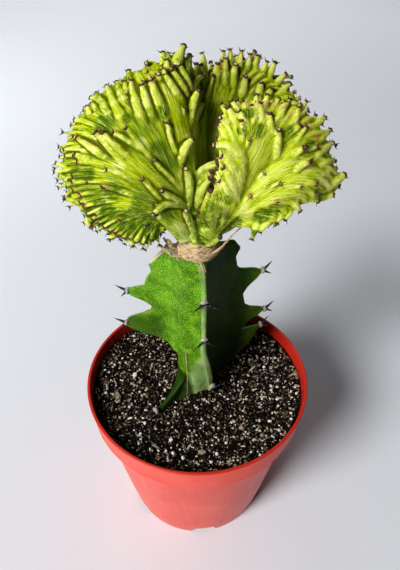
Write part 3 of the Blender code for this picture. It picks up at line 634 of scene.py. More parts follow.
def pot_profile(looks):
    """The wall of the pot from the floor's underside, up the outside and down the inside."""
    height = looks.height / MM
    rim = looks.rim_radius / MM
    base = looks.base_radius / MM
    lip_foot = height - LIP_HEIGHT
    soft = LIP_ROUNDING
    inside_rim = rim - BAND_WALL
    slope = (BODY_TOP_RADIUS - base) / BAND_FOOT
    inside_foot = base + slope * FLOOR_TOP - WALL
    profile = [(CENTRE_HOLE_RADIUS, FLOOR_UNDERSIDE)]
    profile += arc((base - FOOT_RING_WIDTH - soft, FLOOR_UNDERSIDE - soft), soft, 90, 0)
    profile += [(base - FOOT_RING_WIDTH, 0.0)]
    profile += arc((base - soft, soft), soft, -90, -10)
    profile += [(base + slope * level + BODY_BULGE * bulge, level)
                for level, bulge in BODY_SWELL]
    profile += [(BODY_TOP_RADIUS - 0.2, BAND_FOOT - 1.2), (BODY_TOP_RADIUS, BAND_FOOT - 0.15)]
    profile += [(BODY_TOP_RADIUS + 0.15, BAND_FOOT)]
    profile += arc((BAND_FOOT_RADIUS - 0.05, BAND_FOOT + 0.3), 0.3, -90, 60)
    profile += [(BAND_FOOT_RADIUS, BAND_FOOT + 0.95)]
    profile += [(BAND_TOP_RADIUS, lip_foot - 0.5), (BAND_TOP_RADIUS - 0.1, lip_foot)]
    profile += arc((rim - soft, lip_foot + soft), soft, -90, 0)
    profile += arc((rim - soft, height - soft), soft, 0, 90)
    profile += arc((inside_rim + soft, height - soft), soft, 90, 180)
    profile += [(BAND_FOOT_RADIUS - BAND_WALL, BAND_FOOT + BAND_STEP)]
    profile += [(BODY_TOP_RADIUS - WALL, BAND_FOOT - BAND_STEP)]
    profile += arc((inside_foot - 1.0, FLOOR_TOP + 1.0), 1.0, 0, -90)
    profile += [(CENTRE_HOLE_RADIUS, FLOOR_TOP)]
    return profile


def cut_from(target, cutter_bm):
    """Take a bmesh of closed shapes out of the target with one applied Boolean."""
    bmesh.ops.recalc_face_normals(cutter_bm, faces=cutter_bm.faces)
    cutter = made_object("cutter", made_mesh("cutter", cutter_bm))
    apply_modifier(target, "BOOLEAN", operation="DIFFERENCE", solver="EXACT", object=cutter)
    bpy.data.objects.remove(cutter)


def pot_cutters(base):
    """The drainage holes in the floor and the notches in the foot ring."""
    bm = bmesh.new()
    for i in range(DRAIN_HOLES):
        angle = 2.0 * pi * (i + 0.5) / DRAIN_HOLES
        x = DRAIN_HOLE_CIRCLE * cos(angle)
        y = DRAIN_HOLE_CIRCLE * sin(angle)
        add_cone(bm, (x, y, 0.6), (x, y, FLOOR_TOP + 2.0), DRAIN_HOLE_RADIUS, DRAIN_HOLE_RADIUS,
                 DRAIN_HOLE_SIDES)
    for i in range(FOOT_NOTCHES):
        turn = radians(-90.0 + NOTCH_TURN + 360.0 * i / FOOT_NOTCHES)
        cube = bmesh.ops.create_cube(bm, size=1.0)
        for vert in cube["verts"]:
            if vert.co.z > 0.0:
                vert.co.y *= NOTCH_TOP_SHARE
        size = Matrix.Diagonal((2.4 * FOOT_RING_WIDTH * MM, NOTCH_WIDTH * MM,
                                (NOTCH_HEIGHT + 1.0) * MM, 1.0))
        place = (Matrix.Rotation(turn, 4, "Z") @ Matrix.Translation(
            (base * MM, 0.0, (NOTCH_HEIGHT - 1.0) / 2.0 * MM)))
        bmesh.ops.transform(bm, matrix=place @ size, verts=cube["verts"])
    return bm


def plastic_material(looks):
    """Satin moulded plastic, a little translucent, with faint flow marks and dust; the lip and the
    rim's inside are painted a deeper red, painted light for how the light shows them.
    """
    colour = tuple(looks.colour)
    finish = Finish("pot_plastic", colour)
    cloudy = finish.noise(38.0, 4.0)
    marks = finish.streaks(finish.places, (420.0, 420.0, 26.0), 4.0)
    grain = finish.noise(1900.0, 2.0)
    paler = (colour[0] * 1.03, colour[1] * 1.2, colour[2] * 1.25)
    deeper = (colour[0] * 0.95, colour[1] * 0.86, colour[2] * 0.86)
    x, y, height = finish.parts(finish.places)
    level = finish.add("ShaderNodeCombineXYZ", {"X": x, "Y": y}).outputs["Vector"]
    across = finish.add("ShaderNodeVectorMath", {0: level}, operation="LENGTH").outputs["Value"]
    inside = finish.times(finish.ramp(across, *PAINTED_RED_RADII), finish.ramp(height, *PAINTED_RED_HEIGHTS))
    # Painted light: a deeper red on the rim's inside and the lip's top, the same plastic as it looks
    # there.
    painted_red_share = finish.combine("MAXIMUM", inside, finish.ramp(height, *LIP_HEIGHTS))
    dusty = finish.times(finish.ramp(height, *DUST_HEIGHTS, 0.0, 0.5),
                         finish.ramp(finish.noise(260.0), 0.45, 0.7))
    tint = finish.layers(deeper, (finish.ramp(cloudy, 0.35, 0.7), paler),
                         (finish.ramp(marks, 0.6, 0.85, 0.0, 0.1), paler),
                         (painted_red_share, PAINTED_DEEP_RED), (dusty, DUST))
    finish.surface(tint, finish.ramp(marks, 0.3, 0.75, 0.37, 0.45))
    finish.flesh(0.12, 1.6, (1.0, 0.25, 0.12))
    finish.bump(finish.plus(grain, finish.times(marks, 0.5)), 0.16, 0.00006)
    return finish.material


def build_pot(looks):
    bm = spin_profile(pot_profile(looks), POT_STEPS, closed=True)
    pot = finish_mesh("pot_shell", bm, plastic_material(looks))
    cut_from(pot, pot_cutters(looks.base_radius / MM))
    pot.data.shade_smooth()
    pot.data.set_sharp_from_angle(angle=radians(POT_SHARP_ANGLE))
    place_piece(pot, "pot")


# Potting mix

class SoilLooks(bpy.types.PropertyGroup):
    level: length_property("Level", "Height of the potting mix", 0.0914)
    crumbs: IntProperty(name="Crumbs", description="How many loose crumbs lie on top",
                        default=7600, min=0)
    perlite: IntProperty(name="Perlite", description="How many white grains lie on top",
                         default=330, min=0)
    colour: colour_property("Peat colour", "Colour of the moist peat", (0.006, 0.004, 0.003))
    perlite_colour: colour_property("Perlite colour", "Colour of the grains", (0.78, 0.76, 0.72))


SOIL_SEED = 12
SOIL_LUMP = 1.1
SOIL_RADIUS = 56.9
SOIL_RAISED_EDGE = 2.0
SOIL_MOUND = 5.6
MOUND_WIDTH = 4.5
SOIL_RINGS = 96
SOIL_STEPS = 300
STEM_HOLE_RADIUS = 8.3
STEM_HOLE_BOTTOM = 60.0
POT_FOOT_RADIUS = 42.0
# How many crumbs there are for each husk among them.
CRUMBS_PER_HUSK = 30
# Kinds of grain: least and greatest radius, flatness, and how much the small ones prevail.
CRUMB = (0.3, 1.1, 0.75, 2.2)
HUSK = (1.0, 2.6, 0.5, 2.2)
PERLITE = (0.3, 0.95, 0.8, 1.7)
PEAT_BROWN = (0.125, 0.094, 0.064)
PEAT_TAN = (0.37, 0.30, 0.21)
HUSK_CREAM = (0.80, 0.74, 0.63)
SOILED_WHITE = (0.30, 0.25, 0.20)
# White grains that the photograph shows: pixel and radius in mm.
SEEN_PERLITE = [
    (112, 363, 1.0), (115, 365, 1.1), (109, 372, 1.0), (105, 370, 0.8), (106, 393, 1.0),
    (111, 380, 0.8), (135, 375, 1.9), (137, 364, 0.8), (134, 336, 1.0), (160, 385, 0.9),
    (165, 390, 1.0), (145, 423, 1.2), (136, 418, 0.9), (171, 440, 1.2), (173, 453, 1.1),
    (166, 451, 0.9), (183, 458, 1.1), (150, 450, 0.7), (217, 454, 1.2), (211, 462, 0.9),
    (226, 443, 0.9), (231, 416, 0.8), (264, 357, 0.9), (268, 358, 0.8), (275, 358, 0.9),
    (264, 367, 1.0), (264, 343, 0.9), (271, 386, 1.2), (277, 387, 1.0), (271, 390, 1.0),
    (277, 399, 1.1), (278, 380, 1.0), (284, 387, 0.9), (295, 387, 0.9), (291, 413, 1.2),
    (291, 419, 1.0), (279, 430, 1.1), (272, 436, 0.8), (281, 434, 0.7), (228, 399, 0.8),
    (220, 394, 0.7), (262, 399, 0.8), (251, 452, 0.8), (260, 455, 0.8),
]
# Husks and brown granules that it shows: pixel, sizes in mm, tone and turn in degrees.
SEEN_CRUMBS = [
    ((118, 396), (3.8, 1.5, 0.5), 0.86, -70.0), ((296, 375), (3.9, 1.5, 0.6), 0.78, -80.0),
    ((234, 421), (1.3, 1.1, 0.9), 0.86, 0.0), ((242, 428), (1.6, 1.4, 1.1), 0.88, 20.0),
    ((262, 435), (1.4, 1.2, 0.9), 0.84, 0.0), ((202, 452), (2.1, 1.5, 1.0), 0.86, 10.0),
]


def soil_swell(x, y, level):
    """Height of the potting mix without its grain."""
    coarse = noise.noise(Vector((x * 0.06, y * 0.06, 3.0)))
    fine = noise.noise(Vector((x * 0.21, y * 0.21, 7.0)))
    radius = hypot(x, y)
    edge = SOIL_RAISED_EDGE * float(smooth_step((radius - 42.0) / 14.0))
    past = max(0.0, radius - STEM_HOLE_RADIUS - 1.0) / MOUND_WIDTH
    mound = SOIL_MOUND * exp(-past * past)
    return level + SOIL_LUMP * (0.7 * coarse + 0.6 * fine) + 0.2 + edge + mound


def soil_grain(x, y):
    """Crumbs that are pressed into the surface."""
    large = noise.voronoi(Vector((x * 0.36, y * 0.36, 2.0)))[0][0]
    small = noise.voronoi(Vector((x * 0.85, y * 0.85, 5.0)))[0][0]
    tiny = noise.noise(Vector((x * 2.2, y * 2.2, 1.0)))
    return 0.9 * (0.45 - large) + 0.75 * (0.4 - small) + 0.22 * tiny


def peat_colours(finish, tone, looks):
    """Browns from moist peat to dry husk, chosen by a tone from 0 to 1."""
    return finish.layers(tuple(looks.colour), (finish.ramp(tone, 0.42, 0.68), PEAT_BROWN),
                         (finish.ramp(tone, 0.68, 0.86), PEAT_TAN),
                         (finish.ramp(tone, 0.93, 0.97), HUSK_CREAM))


def peat_material(looks):
    finish = Finish("peat", tuple(looks.colour))
    speckle = finish.noise(900.0, 4.0, roughness=0.7)
    flecks = finish.add("ShaderNodeSeparateColor", {"Color": finish.cells(1100.0)["Color"]})
    tone = finish.times(flecks.outputs["Red"], finish.ramp(speckle, 0.25, 0.75, 0.35, 0.9))
    finish.surface(peat_colours(finish, tone, looks), 0.92, 0.1)
    finish.bump(speckle, 0.9, 0.0006)
    return finish.material


def crumb_material(looks):
    finish = Finish("peat_crumbs", tuple(looks.colour))
    speckle = finish.noise(1500.0, 3.0, roughness=0.7)
    tone = finish.plus(finish.mark("tone"), finish.ramp(speckle, 0.3, 0.7, -0.1, 0.1))
    finish.surface(peat_colours(finish, tone, looks), 0.88, 0.12)
    finish.bump(speckle, 0.8, 0.0004)
    return finish.material


def perlite_material(looks):
    """White volcanic glass foam: matte, pitted and a little soiled."""
    colour = tuple(looks.perlite_colour)
    finish = Finish("perlite", colour)
    shade = finish.plus(finish.ramp(finish.noise(420.0, 4.0), 0.45, 0.75),
                        finish.times(finish.mark("tone"), 0.5))
    finish.surface(finish.blend(finish.ramp(shade, 0.35, 1.3), colour, SOILED_WHITE), 0.8)
    finish.flesh(0.15, 0.6, (1.0, 0.95, 0.9))
    finish.bump(finish.cells(2600.0)["Distance"], 0.5, 0.0003)
    return finish.material


def random_turn(chance):
    axis = Vector((chance.gauss(0, 1), chance.gauss(0, 1), chance.gauss(0, 1))).normalized()
    return np.array(Matrix.Rotation(chance.uniform(0, 2.0 * pi), 3, axis))


def scatter_grains(name, grains, jitter, material, chance):
    """One object of many loose grains, each a centre, sizes and a tone, and a turn if it has one."""
    bm = bmesh.new()
    bmesh.ops.create_icosphere(bm, subdivisions=1, radius=1.0)
    template = made_mesh("grain_template", bm)
    shape = get_places(template)
    copies = []
    tones = []
    for centre, sizes, tone, *turn in grains:
        lumps = 1.0 + np.array([[chance.uniform(-jitter, jitter)] for _ in shape])
        if turn:
            turned = np.array(Matrix.Rotation(radians(turn[0]), 3, "Z"))
        else:
            turned = random_turn(chance)
        copies.append((shape * lumps * np.array(sizes)) @ turned.T + np.array(centre))
        tones += [tone] * len(shape)
    thing = stamp_shapes(name, template, copies, material, None)
    add_value(thing.data, "tone", tones)
    return thing


def soil_spot(chance, keep_out):
    """A random spot on the mix, clear of the stem."""
    while True:
        radius = (SOIL_RADIUS - 0.6) * sqrt(chance.random())
        angle = chance.uniform(0.0, 2.0 * pi)
        if radius > keep_out:
            return radius * cos(angle), radius * sin(angle)


def place_grain(chance, kind, level):
    """Centre and sizes of one grain that is half sunk in the mix."""
    low, high, flat, power = kind
    x, y = soil_spot(chance, STEM_HOLE_RADIUS + 1.0)
    size = low + (high - low) * chance.random() ** power
    sizes = (size, size * chance.uniform(0.6, 1.0), size * flat * chance.uniform(0.7, 1.0))
    edge = max(0.0, hypot(x, y) + size - SOIL_RADIUS)
    z = soil_swell(x, y, level) + soil_grain(x, y) + 0.25 * size
    return (x * (1.0 - edge / 60.0), y * (1.0 - edge / 60.0), z), sizes


def seen_spot(pixel, level, size):
    """Where the ray through a pixel meets the mix, for a grain that is half sunk in it."""
    eye = np.array(camera_axes()[3])
    ray = photo_ray(pixel)
    height = level
    for _ in range(3):
        place = eye + ray * (height - eye[2]) / ray[2]
        height = soil_swell(place[0], place[1], level) + 0.5 * size
    return place[0], place[1], height


def build_soil(looks):
    level = looks.level / MM
    bottom = FLOOR_TOP + 0.1
    slope = (BODY_TOP_RADIUS - POT_FOOT_RADIUS) / BAND_FOOT
    profile = [(0.0, bottom), (POT_FOOT_RADIUS - WALL + slope * bottom - 0.4, bottom),
               (BODY_TOP_RADIUS - WALL - 0.9, BAND_FOOT - BAND_STEP),
               (SOIL_RADIUS - 0.1, BAND_FOOT + BAND_STEP)]
    for i in range(SOIL_RINGS + 1):
        share = i / SOIL_RINGS
        profile.append((SOIL_RADIUS + (STEM_HOLE_RADIUS - SOIL_RADIUS) * share, level))
    profile += [(STEM_HOLE_RADIUS, STEM_HOLE_BOTTOM), (0.0, STEM_HOLE_BOTTOM)]
    bm = spin_profile(profile, SOIL_STEPS, closed=False)
    for vert in bm.verts:
        if vert.co.z > (level - 0.2) * MM:
            x = vert.co.x / MM
            y = vert.co.y / MM
            vert.co.z = (soil_swell(x, y, level) + soil_grain(x, y)) * MM
    soil = finish_mesh("soil_bed", bm, peat_material(looks), 180)
    place_piece(soil, "soil")

    chance = random.Random(SOIL_SEED)
    crumbs = []
    for _ in range(looks.crumbs):
        crumbs.append((*place_grain(chance, CRUMB, level), chance.random()))
    for _ in range(looks.crumbs // CRUMBS_PER_HUSK):
        centre, sizes = place_grain(chance, HUSK, level)
        crumbs.append((centre, (sizes[0], sizes[1] * 0.35, sizes[2] * 0.35),
                       chance.uniform(0.7, 1.0)))
    for pixel, sizes, tone, turn in SEEN_CRUMBS:
        crumbs.append((seen_spot(pixel, level, sizes[2]), sizes, tone, turn))
    crumbled = scatter_grains("soil_crumbs", crumbs, 0.28, crumb_material(looks), chance)
    place_piece(crumbled, None)

    grains = []
    for _ in range(looks.perlite):
        grains.append((*place_grain(chance, PERLITE, level), chance.random()))
    for *pixel, size in SEEN_PERLITE:
        sizes = (size, size * chance.uniform(0.7, 1.0), size * chance.uniform(0.6, 0.9))
        grains.append((seen_spot(pixel, level, size), sizes, chance.random() * 0.4))
    perlite = scatter_grains("soil_perlite", grains, 0.2, perlite_material(looks), chance)
    place_piece(perlite, None)


# Stock, the winged green stem

class StockLooks(bpy.types.PropertyGroup):
    spine_length: length_property("Spine length", "Length of the paired spines", 0.0064)
    colour: colour_property("Skin colour", "Green of the broad faces", (0.128, 0.335, 0.003))
    spine_colour: colour_property("Spine colour", "Colour of the spines", (0.006, 0.005, 0.006))


STOCK_SEED = 5
STOCK_AROUND = 152
STOCK_RISE = 0.62
STOCK_SUNK = 88.6
REACH_SOFTENING = 0.55
WING_SHARES = (0.3, 0.62, 0.9)
# How wide the pale skin is along the front wing's edge: heights and widths.
PALE_EDGE = ((96.0, 10.0), (112.0, 6.0), (126.0, 3.2), (138.0, 0.7), (168.0, 0.3))
# Painted shade: how strongly the side right of the front rib is painted deep green, and the heights
# up to which the low blade is painted in shade and the left wing's low part is painted darker.
PAINTED_SHADE_SHARE = 0.9
BLADE_TOP = 112.0
LOW_WING_TOP = 143.0
TORN_FOOT = 171.5
PALE_FOOT_GREEN = (0.44, 0.58, 0.27)
DOT_GREEN = (0.38, 0.57, 0.12)
# Deep green of the painted shade, also on the darker low left wing.
PAINTED_SHADE_GREEN = (0.008, 0.026, 0.001)
EDGE_GREEN = (0.28, 0.42, 0.23)
TORN_TAN = (0.66, 0.55, 0.42)
# Grey of the stem's spines' paler grain, which stands in for their highlights: painted highlight.
SPINE_HIGHLIGHT_GREY = (0.12, 0.115, 0.13)
SHIELD_GREY = (0.5, 0.46, 0.4)
SHIELD_DARK = (0.20, 0.16, 0.13)
SHIELD_PALE = (0.72, 0.68, 0.60)
SHIELD_BROWN = (0.25, 0.20, 0.16)


def wing_angle(wing, height):
    at_top, turn = WINGS[wing][:2]
    return at_top + turn * float(smooth_step((TWIST_FROM - height) / (TWIST_FROM - TWIST_TO)))


def wing_direction(wing, height):
    angle = radians(wing_angle(wing, height))
    return Vector((cos(angle), sin(angle), 0.0))


def wing_reach(wing, heights):
    """The reach of a wing's edge, with the corners of its outline a little rounded."""
    rows = sorted(WINGS[wing][2])
    table_heights = [row[0] for row in rows]
    table_reaches = [row[1] for row in rows]
    shifts = np.linspace(-2.0, 2.0, 9)
    weights = np.exp(-0.5 * shifts ** 2)
    total = sum(weight * np.interp(heights + shift * REACH_SOFTENING, table_heights, table_reaches)
                for shift, weight in zip(shifts, weights))
    return total / weights.sum()


def wing_half(wing, radius):
    swell = exp(-(radius - WING_SWELL_RADIUS) / WING_SWELL_RADIUS)
    return WING_EDGE_HALF + WING_ROOT_SWELL[wing] * swell


def stock_section(height, reaches):
    """Driving points of the winged cross-section at one height, in order round it."""
    ring = []
    for i, wing in enumerate(WING_NAMES):
        out = wing_direction(wing, height)
        side = Vector((-out.y, out.x, 0.0))
        stretch = max(reaches[wing] - CORE_RADIUS, 0.6)
        places = [CORE_RADIUS + stretch * share for share in WING_SHARES]
        ring += [out * radius - side * wing_half(wing, radius) for radius in places]
        ring.append(out * (CORE_RADIUS + stretch))
        ring += [out * radius + side * wing_half(wing, radius) for radius in reversed(places)]
        here = wing_angle(wing, height)
        following = wing_angle(WING_NAMES[(i + 1) % 3], height)
        middle = radians(here + ((following - here) % 360.0) / 2.0)
        ring.append(Vector((cos(middle), sin(middle), 0.0)) * VALLEY_RADIUS[wing])
    return np.array(ring)


def closed_curve(points, count):
    """Evenly shared points on a smooth closed curve through the given points."""
    size = len(points)
    place = np.arange(count) * size / count
    first = place.astype(int)
    four = [points[(first + k) % size] for k in (-1, 0, 1, 2)]
    return four_point_curve(four, (place - first)[:, None])


def stock_body():
    """Loft of the winged cross-section, as a grid bent into a tube with closed ends."""
    heights = np.arange(STOCK_TOP, STOCK_SUNK, -STOCK_RISE)
    reaches = {wing: wing_reach(wing, np.maximum(heights, WING_FOOT)) for wing in WING_NAMES}
    rings = []
    for i, height in enumerate(heights):
        section = stock_section(height, {wing: reaches[wing][i] for wing in WING_NAMES})
        ring = closed_curve(section, STOCK_AROUND)
        rings.append(np.column_stack([ring[:, :2], np.full(STOCK_AROUND, height)]))
    foot = rings[-1].copy()
    directions = foot[:, :2] / np.linalg.norm(foot[:, :2], axis=1)[:, None]
    for height, radius in ((STOCK_SUNK - 1.0, STEM_HOLE_RADIUS - 0.3),
                           (STEM_HOLE_BOTTOM + 3.0, STEM_HOLE_RADIUS - 0.3),
                           (STEM_HOLE_BOTTOM + 0.5, STEM_HOLE_RADIUS - 2.0)):
        rings.append(np.column_stack([directions * radius, np.full(STOCK_AROUND, height)]))
    return bend_grid(np.array(rings))


def bend_grid(rings):
    """Bend a flat grid onto rings of points, an array of (rings, points, 3), and close it."""
    count, around = rings.shape[:2]
    bm = bmesh.new()
    bmesh.ops.create_grid(bm, x_segments=around, y_segments=count - 1, size=1.0)
    for vert in bm.verts:
        i = round((vert.co.x + 1.0) / 2.0 * around) % around
        j = round((vert.co.y + 1.0) / 2.0 * (count - 1))
        vert.co = metres(rings[j, i])
    bmesh.ops.remove_doubles(bm, verts=bm.verts, dist=MERGE_DISTANCE)
    open_edges = [edge for edge in bm.edges if edge.is_boundary]
    bmesh.ops.holes_fill(bm, edges=open_edges, sides=0)
    bmesh.ops.recalc_face_normals(bm, faces=bm.faces)
    return bm


def leaf_skin(looks):
    """Waxy green skin, cloudy and lightly streaked, with pale speckles, a pale foot, a corky edge
    and a torn top; deep green is painted on the marked parts, as painted shade and on the low left
    wing.
    """
    colour = tuple(looks.colour)
    finish = Finish("stock_skin", colour)
    cloudy = finish.noise(75.0, 4.0, distortion=0.4)
    streaks = finish.streaks(finish.places, (250.0, 250.0, 300.0), 4.0)
    speckle = finish.cells(1500.0)["Distance"]
    dark = tuple(channel * 0.5 for channel in colour)
    light = (colour[0] * 1.75, colour[1] * 1.4, colour[2] * 3.0)
    dots = finish.times(finish.ramp(speckle, 0.5, 0.2), finish.ramp(cloudy, 0.35, 0.65, 0.5, 1.0))
    foot = finish.times(finish.mark("pale_foot"), finish.ramp(cloudy, 0.3, 0.55, 0.55, 1.0))
    tint = finish.layers(dark, (finish.ramp(cloudy, 0.36, 0.62), colour),
                         (finish.ramp(streaks, 0.5, 0.74, 0.0, 0.55), light),
                         (foot, PALE_FOOT_GREEN), (dots, DOT_GREEN),
                         # Deep green on the marked parts: painted shade, and the darker low left
                         # wing.
                         (finish.mark("deep"), PAINTED_SHADE_GREEN),
                         (finish.ramp(finish.mark("edge"), 0.45, 1.0, 0.0, 0.6), EDGE_GREEN),
                         (finish.mark("torn"), TORN_TAN))
    finish.surface(tint, finish.ramp(streaks, 0.3, 0.7, 0.36, 0.52), 0.09)
    finish.flesh(0.12, 1.2, (0.5, 1.0, 0.1))
    finish.bump(finish.plus(streaks, finish.times(speckle, -0.4)), 0.35, 0.0003)
    return finish.material


def horn_material(name, colour, pale):
    """Spines: dark horn with paler grain; on the stem's spines the paler grey is a painted
    highlight.
    """
    finish = Finish(name, colour)
    grain = finish.noise(900.0, 2.0)
    finish.surface(finish.blend(finish.ramp(grain, 0.45, 0.7), colour, pale), 0.42, 0.3)
    finish.bump(grain, 0.3, 0.0001)
    return finish.material


def shield_material():
    """Grey-white corky shields with brown patches."""
    finish = Finish("areole_shield", SHIELD_GREY)
    cork = finish.noise(1400.0, 4.0, roughness=0.7)
    patches = finish.noise(500.0, 2.0)
    finish.surface(finish.layers(SHIELD_DARK, (finish.ramp(cork, 0.35, 0.7), SHIELD_PALE),
                                 (finish.ramp(patches, 0.6, 0.75), SHIELD_BROWN)), 0.8)
    finish.bump(cork, 0.6, 0.0003)
    return finish.material


def mark_stock(mesh):
    """Mark the skin's corky edge, pale foot and torn top, the painted shade right of the front rib
    and on the low blade, and the darker low part of the left wing.
    """
    places = get_places(mesh) / MM
    heights = places[:, 2]
    edge = np.zeros(len(places))
    for wing in WING_NAMES:
        reaches = wing_reach(wing, np.maximum(heights, WING_FOOT))
        angles = np.radians([wing_angle(wing, height) for height in heights])
        outward = (places[:, :2] * np.column_stack([np.cos(angles), np.sin(angles)])).sum(axis=1)
        near = np.abs(reaches - outward)
        corky = (smooth_step((reaches - 11.5) / 4.0)
                 * (0.45 + 0.55 * smooth_step((heights - 108.0) / 6.0)))
        if wing == "front":
            corky = corky * 0.6
            widths = np.interp(heights, *np.array(PALE_EDGE).T)
            foot = smooth_step((widths - near) / (0.5 + 0.4 * widths) + 0.3)
        if wing == "left":
            # Painted shade on the face of the low blade.
            blade = (smooth_step((BLADE_TOP - heights) / 4.0)
                     * smooth_step((outward - 8.0) / 2.0))
            # The left wing's low part is painted darker towards its edge.
            low_wing = (smooth_step((LOW_WING_TOP - heights) / 9.0)
                        * smooth_step((outward - 10.0) / 14.0) * 0.72)
            torn = (smooth_step((heights - TORN_FOOT) / 1.5)
                    * np.maximum(smooth_step(2.0 - near / 0.9),
                                 smooth_step((heights - STOCK_TOP + 0.8) / 0.5))
                    * smooth_step((outward - 6.0) / 2.0))
        edge = np.maximum(edge, (1.0 - near / 1.3) * corky)
    edge[heights < WING_FOOT - 2.0] = 0.0
    # Painted shade: the side right of the front rib, which faces away from the key light, is painted
    # deep green, less so far out on the right wing.
    turns = np.degrees(np.arctan2(places[:, 1], places[:, 0])) % 360.0
    front = np.array([wing_angle("front", height) for height in heights]) % 360.0
    beyond = (turns - front) % 360.0
    side_reach = np.hypot(places[:, 0], places[:, 1])
    deep = (smooth_step((beyond - 3.0) / 4.0) * (1.0 - smooth_step((beyond - 102.0) / 4.0))
            * (1.0 - 0.45 * smooth_step((side_reach - 24.0) / 10.0)))
    add_value(mesh, "pale_foot", foot * 0.8)
    add_value(mesh, "deep", np.maximum(deep * PAINTED_SHADE_SHARE, np.maximum(blade * 0.9, low_wing)))
    add_value(mesh, "torn", torn)
    add_value(mesh, "edge", np.clip(edge, 0.0, 1.0))


def build_stock(looks):
    bm = stock_body()
    for vert in bm.verts:
        place = vert.co / MM
        if place.z > WING_FOOT:
            wave = noise.noise(place * 0.16) + 0.5 * noise.noise(place * 0.42)
            vert.co += Vector((place.x, place.y, 0.0)).normalized() * wave * 0.28 * MM
    stock = finish_mesh("stock_stem", bm, leaf_skin(looks), 60)
    mark_stock(stock.data)
    place_piece(stock, "stock")

    chance = random.Random(STOCK_SEED)
    spines = bmesh.new()
    shields = bmesh.new()
    length = looks.spine_length / MM
    for wing, height, reach, spread in STOCK_TEETH:
        out = wing_direction(wing, height)
        tip = out * reach + Vector((0, 0, height))
        low = height < LOW_TOOTH
        add_shield(shields, tip - out * 0.3 + Vector((0, 0, 0.6 if low else 0.0)), out, chance,
                   2.05 if low else 1.75)
        level = Vector((-out.y, out.x, 0.0))
        across = level if low or wing == "front" else Vector((0, 0, 1))
        lift = Vector((0, 0, 0.35 if low else -SPINE_DROOP[wing]))
        for sign in (-1.0, 1.0):
            angle = radians(spread + chance.uniform(-5.0, 5.0))
            direction = out * cos(angle) + across * sign * sin(angle) + lift
            add_spine(spines, tip - direction * 1.0, direction, length + 1.0, 0.95, 8,
                      chance.uniform(-0.05, 0.12))
    spines = finish_mesh("stock_spines", spines, horn_material(
        "stock_spine_horn", tuple(looks.spine_colour), SPINE_HIGHLIGHT_GREY), 50)
    place_piece(spines, None)
    shields = finish_mesh("stock_shields", shields, shield_material(), 180)
    place_piece(shields, None)


def add_shield(bm, place, out, chance, radius):
    """A lumpy pad that a pair of spines stands on."""
    turn = Vector(out).to_track_quat("Z", "Y").to_matrix().to_4x4()
    turn.translation = metres(place)
    size = Matrix.Diagonal((radius * MM, radius * 1.12 * MM, radius * 0.62 * MM, 1.0))
    made = bmesh.ops.create_uvsphere(bm, u_segments=16, v_segments=10, radius=1.0,
                                     matrix=turn @ size)
    shift = Vector((chance.uniform(0, 9), chance.uniform(0, 9), 0.0))
    centre = metres(place)
    for vert in made["verts"]:
        offset = vert.co - centre
        vert.co = centre + offset * (1.0 + 0.22 * noise.noise(vert.co / MM * 1.3 + shift))


# Graft callus

class CallusLooks(bpy.types.PropertyGroup):
    radius: length_property("Radius", "Radius of the dry collar", 0.0088)
    fibres: IntProperty(name="Fibres", description="How many dry fibres wind round the collar",
                        default=150, min=0)
    colour: colour_property("Colour", "Colour of the dry tissue", (0.68, 0.51, 0.31))


CALLUS_SEED = 23
CALLUS_STEPS = 96
CRACK_BROWN = (0.20, 0.12, 0.06)
STAIN_BROWN = (0.26, 0.17, 0.09)
# Height above the collar's foot and share of its radius.
CALLUS_PROFILE = [(-1.6, 0.6), (-0.6, 0.92), (0.6, 1.02), (2.0, 1.04), (3.4, 0.98), (4.8, 0.9),
                  (6.0, 0.86), (7.2, 0.82), (8.0, 0.6)]
# Dry strips of torn skin that stand off the collar, as lines of points, with their widths.
CALLUS_STRIPS = [
    ([(-8.0, -3.0, 184.6), (-11.2, -4.2, 188.0), (-12.6, -3.6, 191.6)], 1.5),
    ([(-7.0, -5.0, 183.8), (-10.6, -6.0, 185.2), (-14.2, -5.4, 187.6), (-16.4, -4.6, 189.8)], 1.2),
    ([(-9.0, -2.0, 185.0), (-13.0, -1.2, 187.8), (-15.4, -0.6, 191.2)], 1.0),
    ([(6.6, -6.6, 187.0), (10.1, -8.0, 191.5), (14.0, -8.3, 197.6), (19.0, -8.6, 203.4)], 0.75),
    ([(7.0, -5.0, 186.0), (9.6, -7.0, 190.0), (12.4, -7.6, 194.6)], 0.9),
    ([(1.0, -8.6, 184.4), (2.4, -9.6, 181.6), (3.0, -10.2, 179.8)], 1.3),
]


def dry_material(looks):
    """Dry straw-coloured tissue with dark cracks between its fibres."""
    colour = tuple(looks.colour)
    finish = Finish("dry_callus", colour)
    bands = finish.streaks(finish.places, (420.0, 420.0, 1900.0), 4.0, roughness=0.65)
    stain = finish.noise(210.0, 3.0)
    pale = (min(1.0, colour[0] * 1.5), min(1.0, colour[1] * 1.6), colour[2] * 2.0)
    tint = finish.layers(CRACK_BROWN, (finish.ramp(bands, 0.34, 0.52), colour),
                         (finish.ramp(bands, 0.58, 0.8, 0.0, 0.8), pale),
                         (finish.ramp(stain, 0.58, 0.75, 0.0, 0.5), STAIN_BROWN))
    finish.surface(tint, 0.85, 0.25)
    finish.bump(bands, 0.8, 0.0004)
    return finish.material


def add_strand(bm, points, radius, sides=4):
    """Add a thin tapering strand along a line of points, in millimetres."""
    count = len(points)
    for i, (start, end) in enumerate(zip(points, points[1:])):
        thick = radius * (1.0 - 0.8 * i / count)
        thin = radius * (1.0 - 0.8 * (i + 1) / count)
        add_cone(bm, start, end, thick, thin, sides)


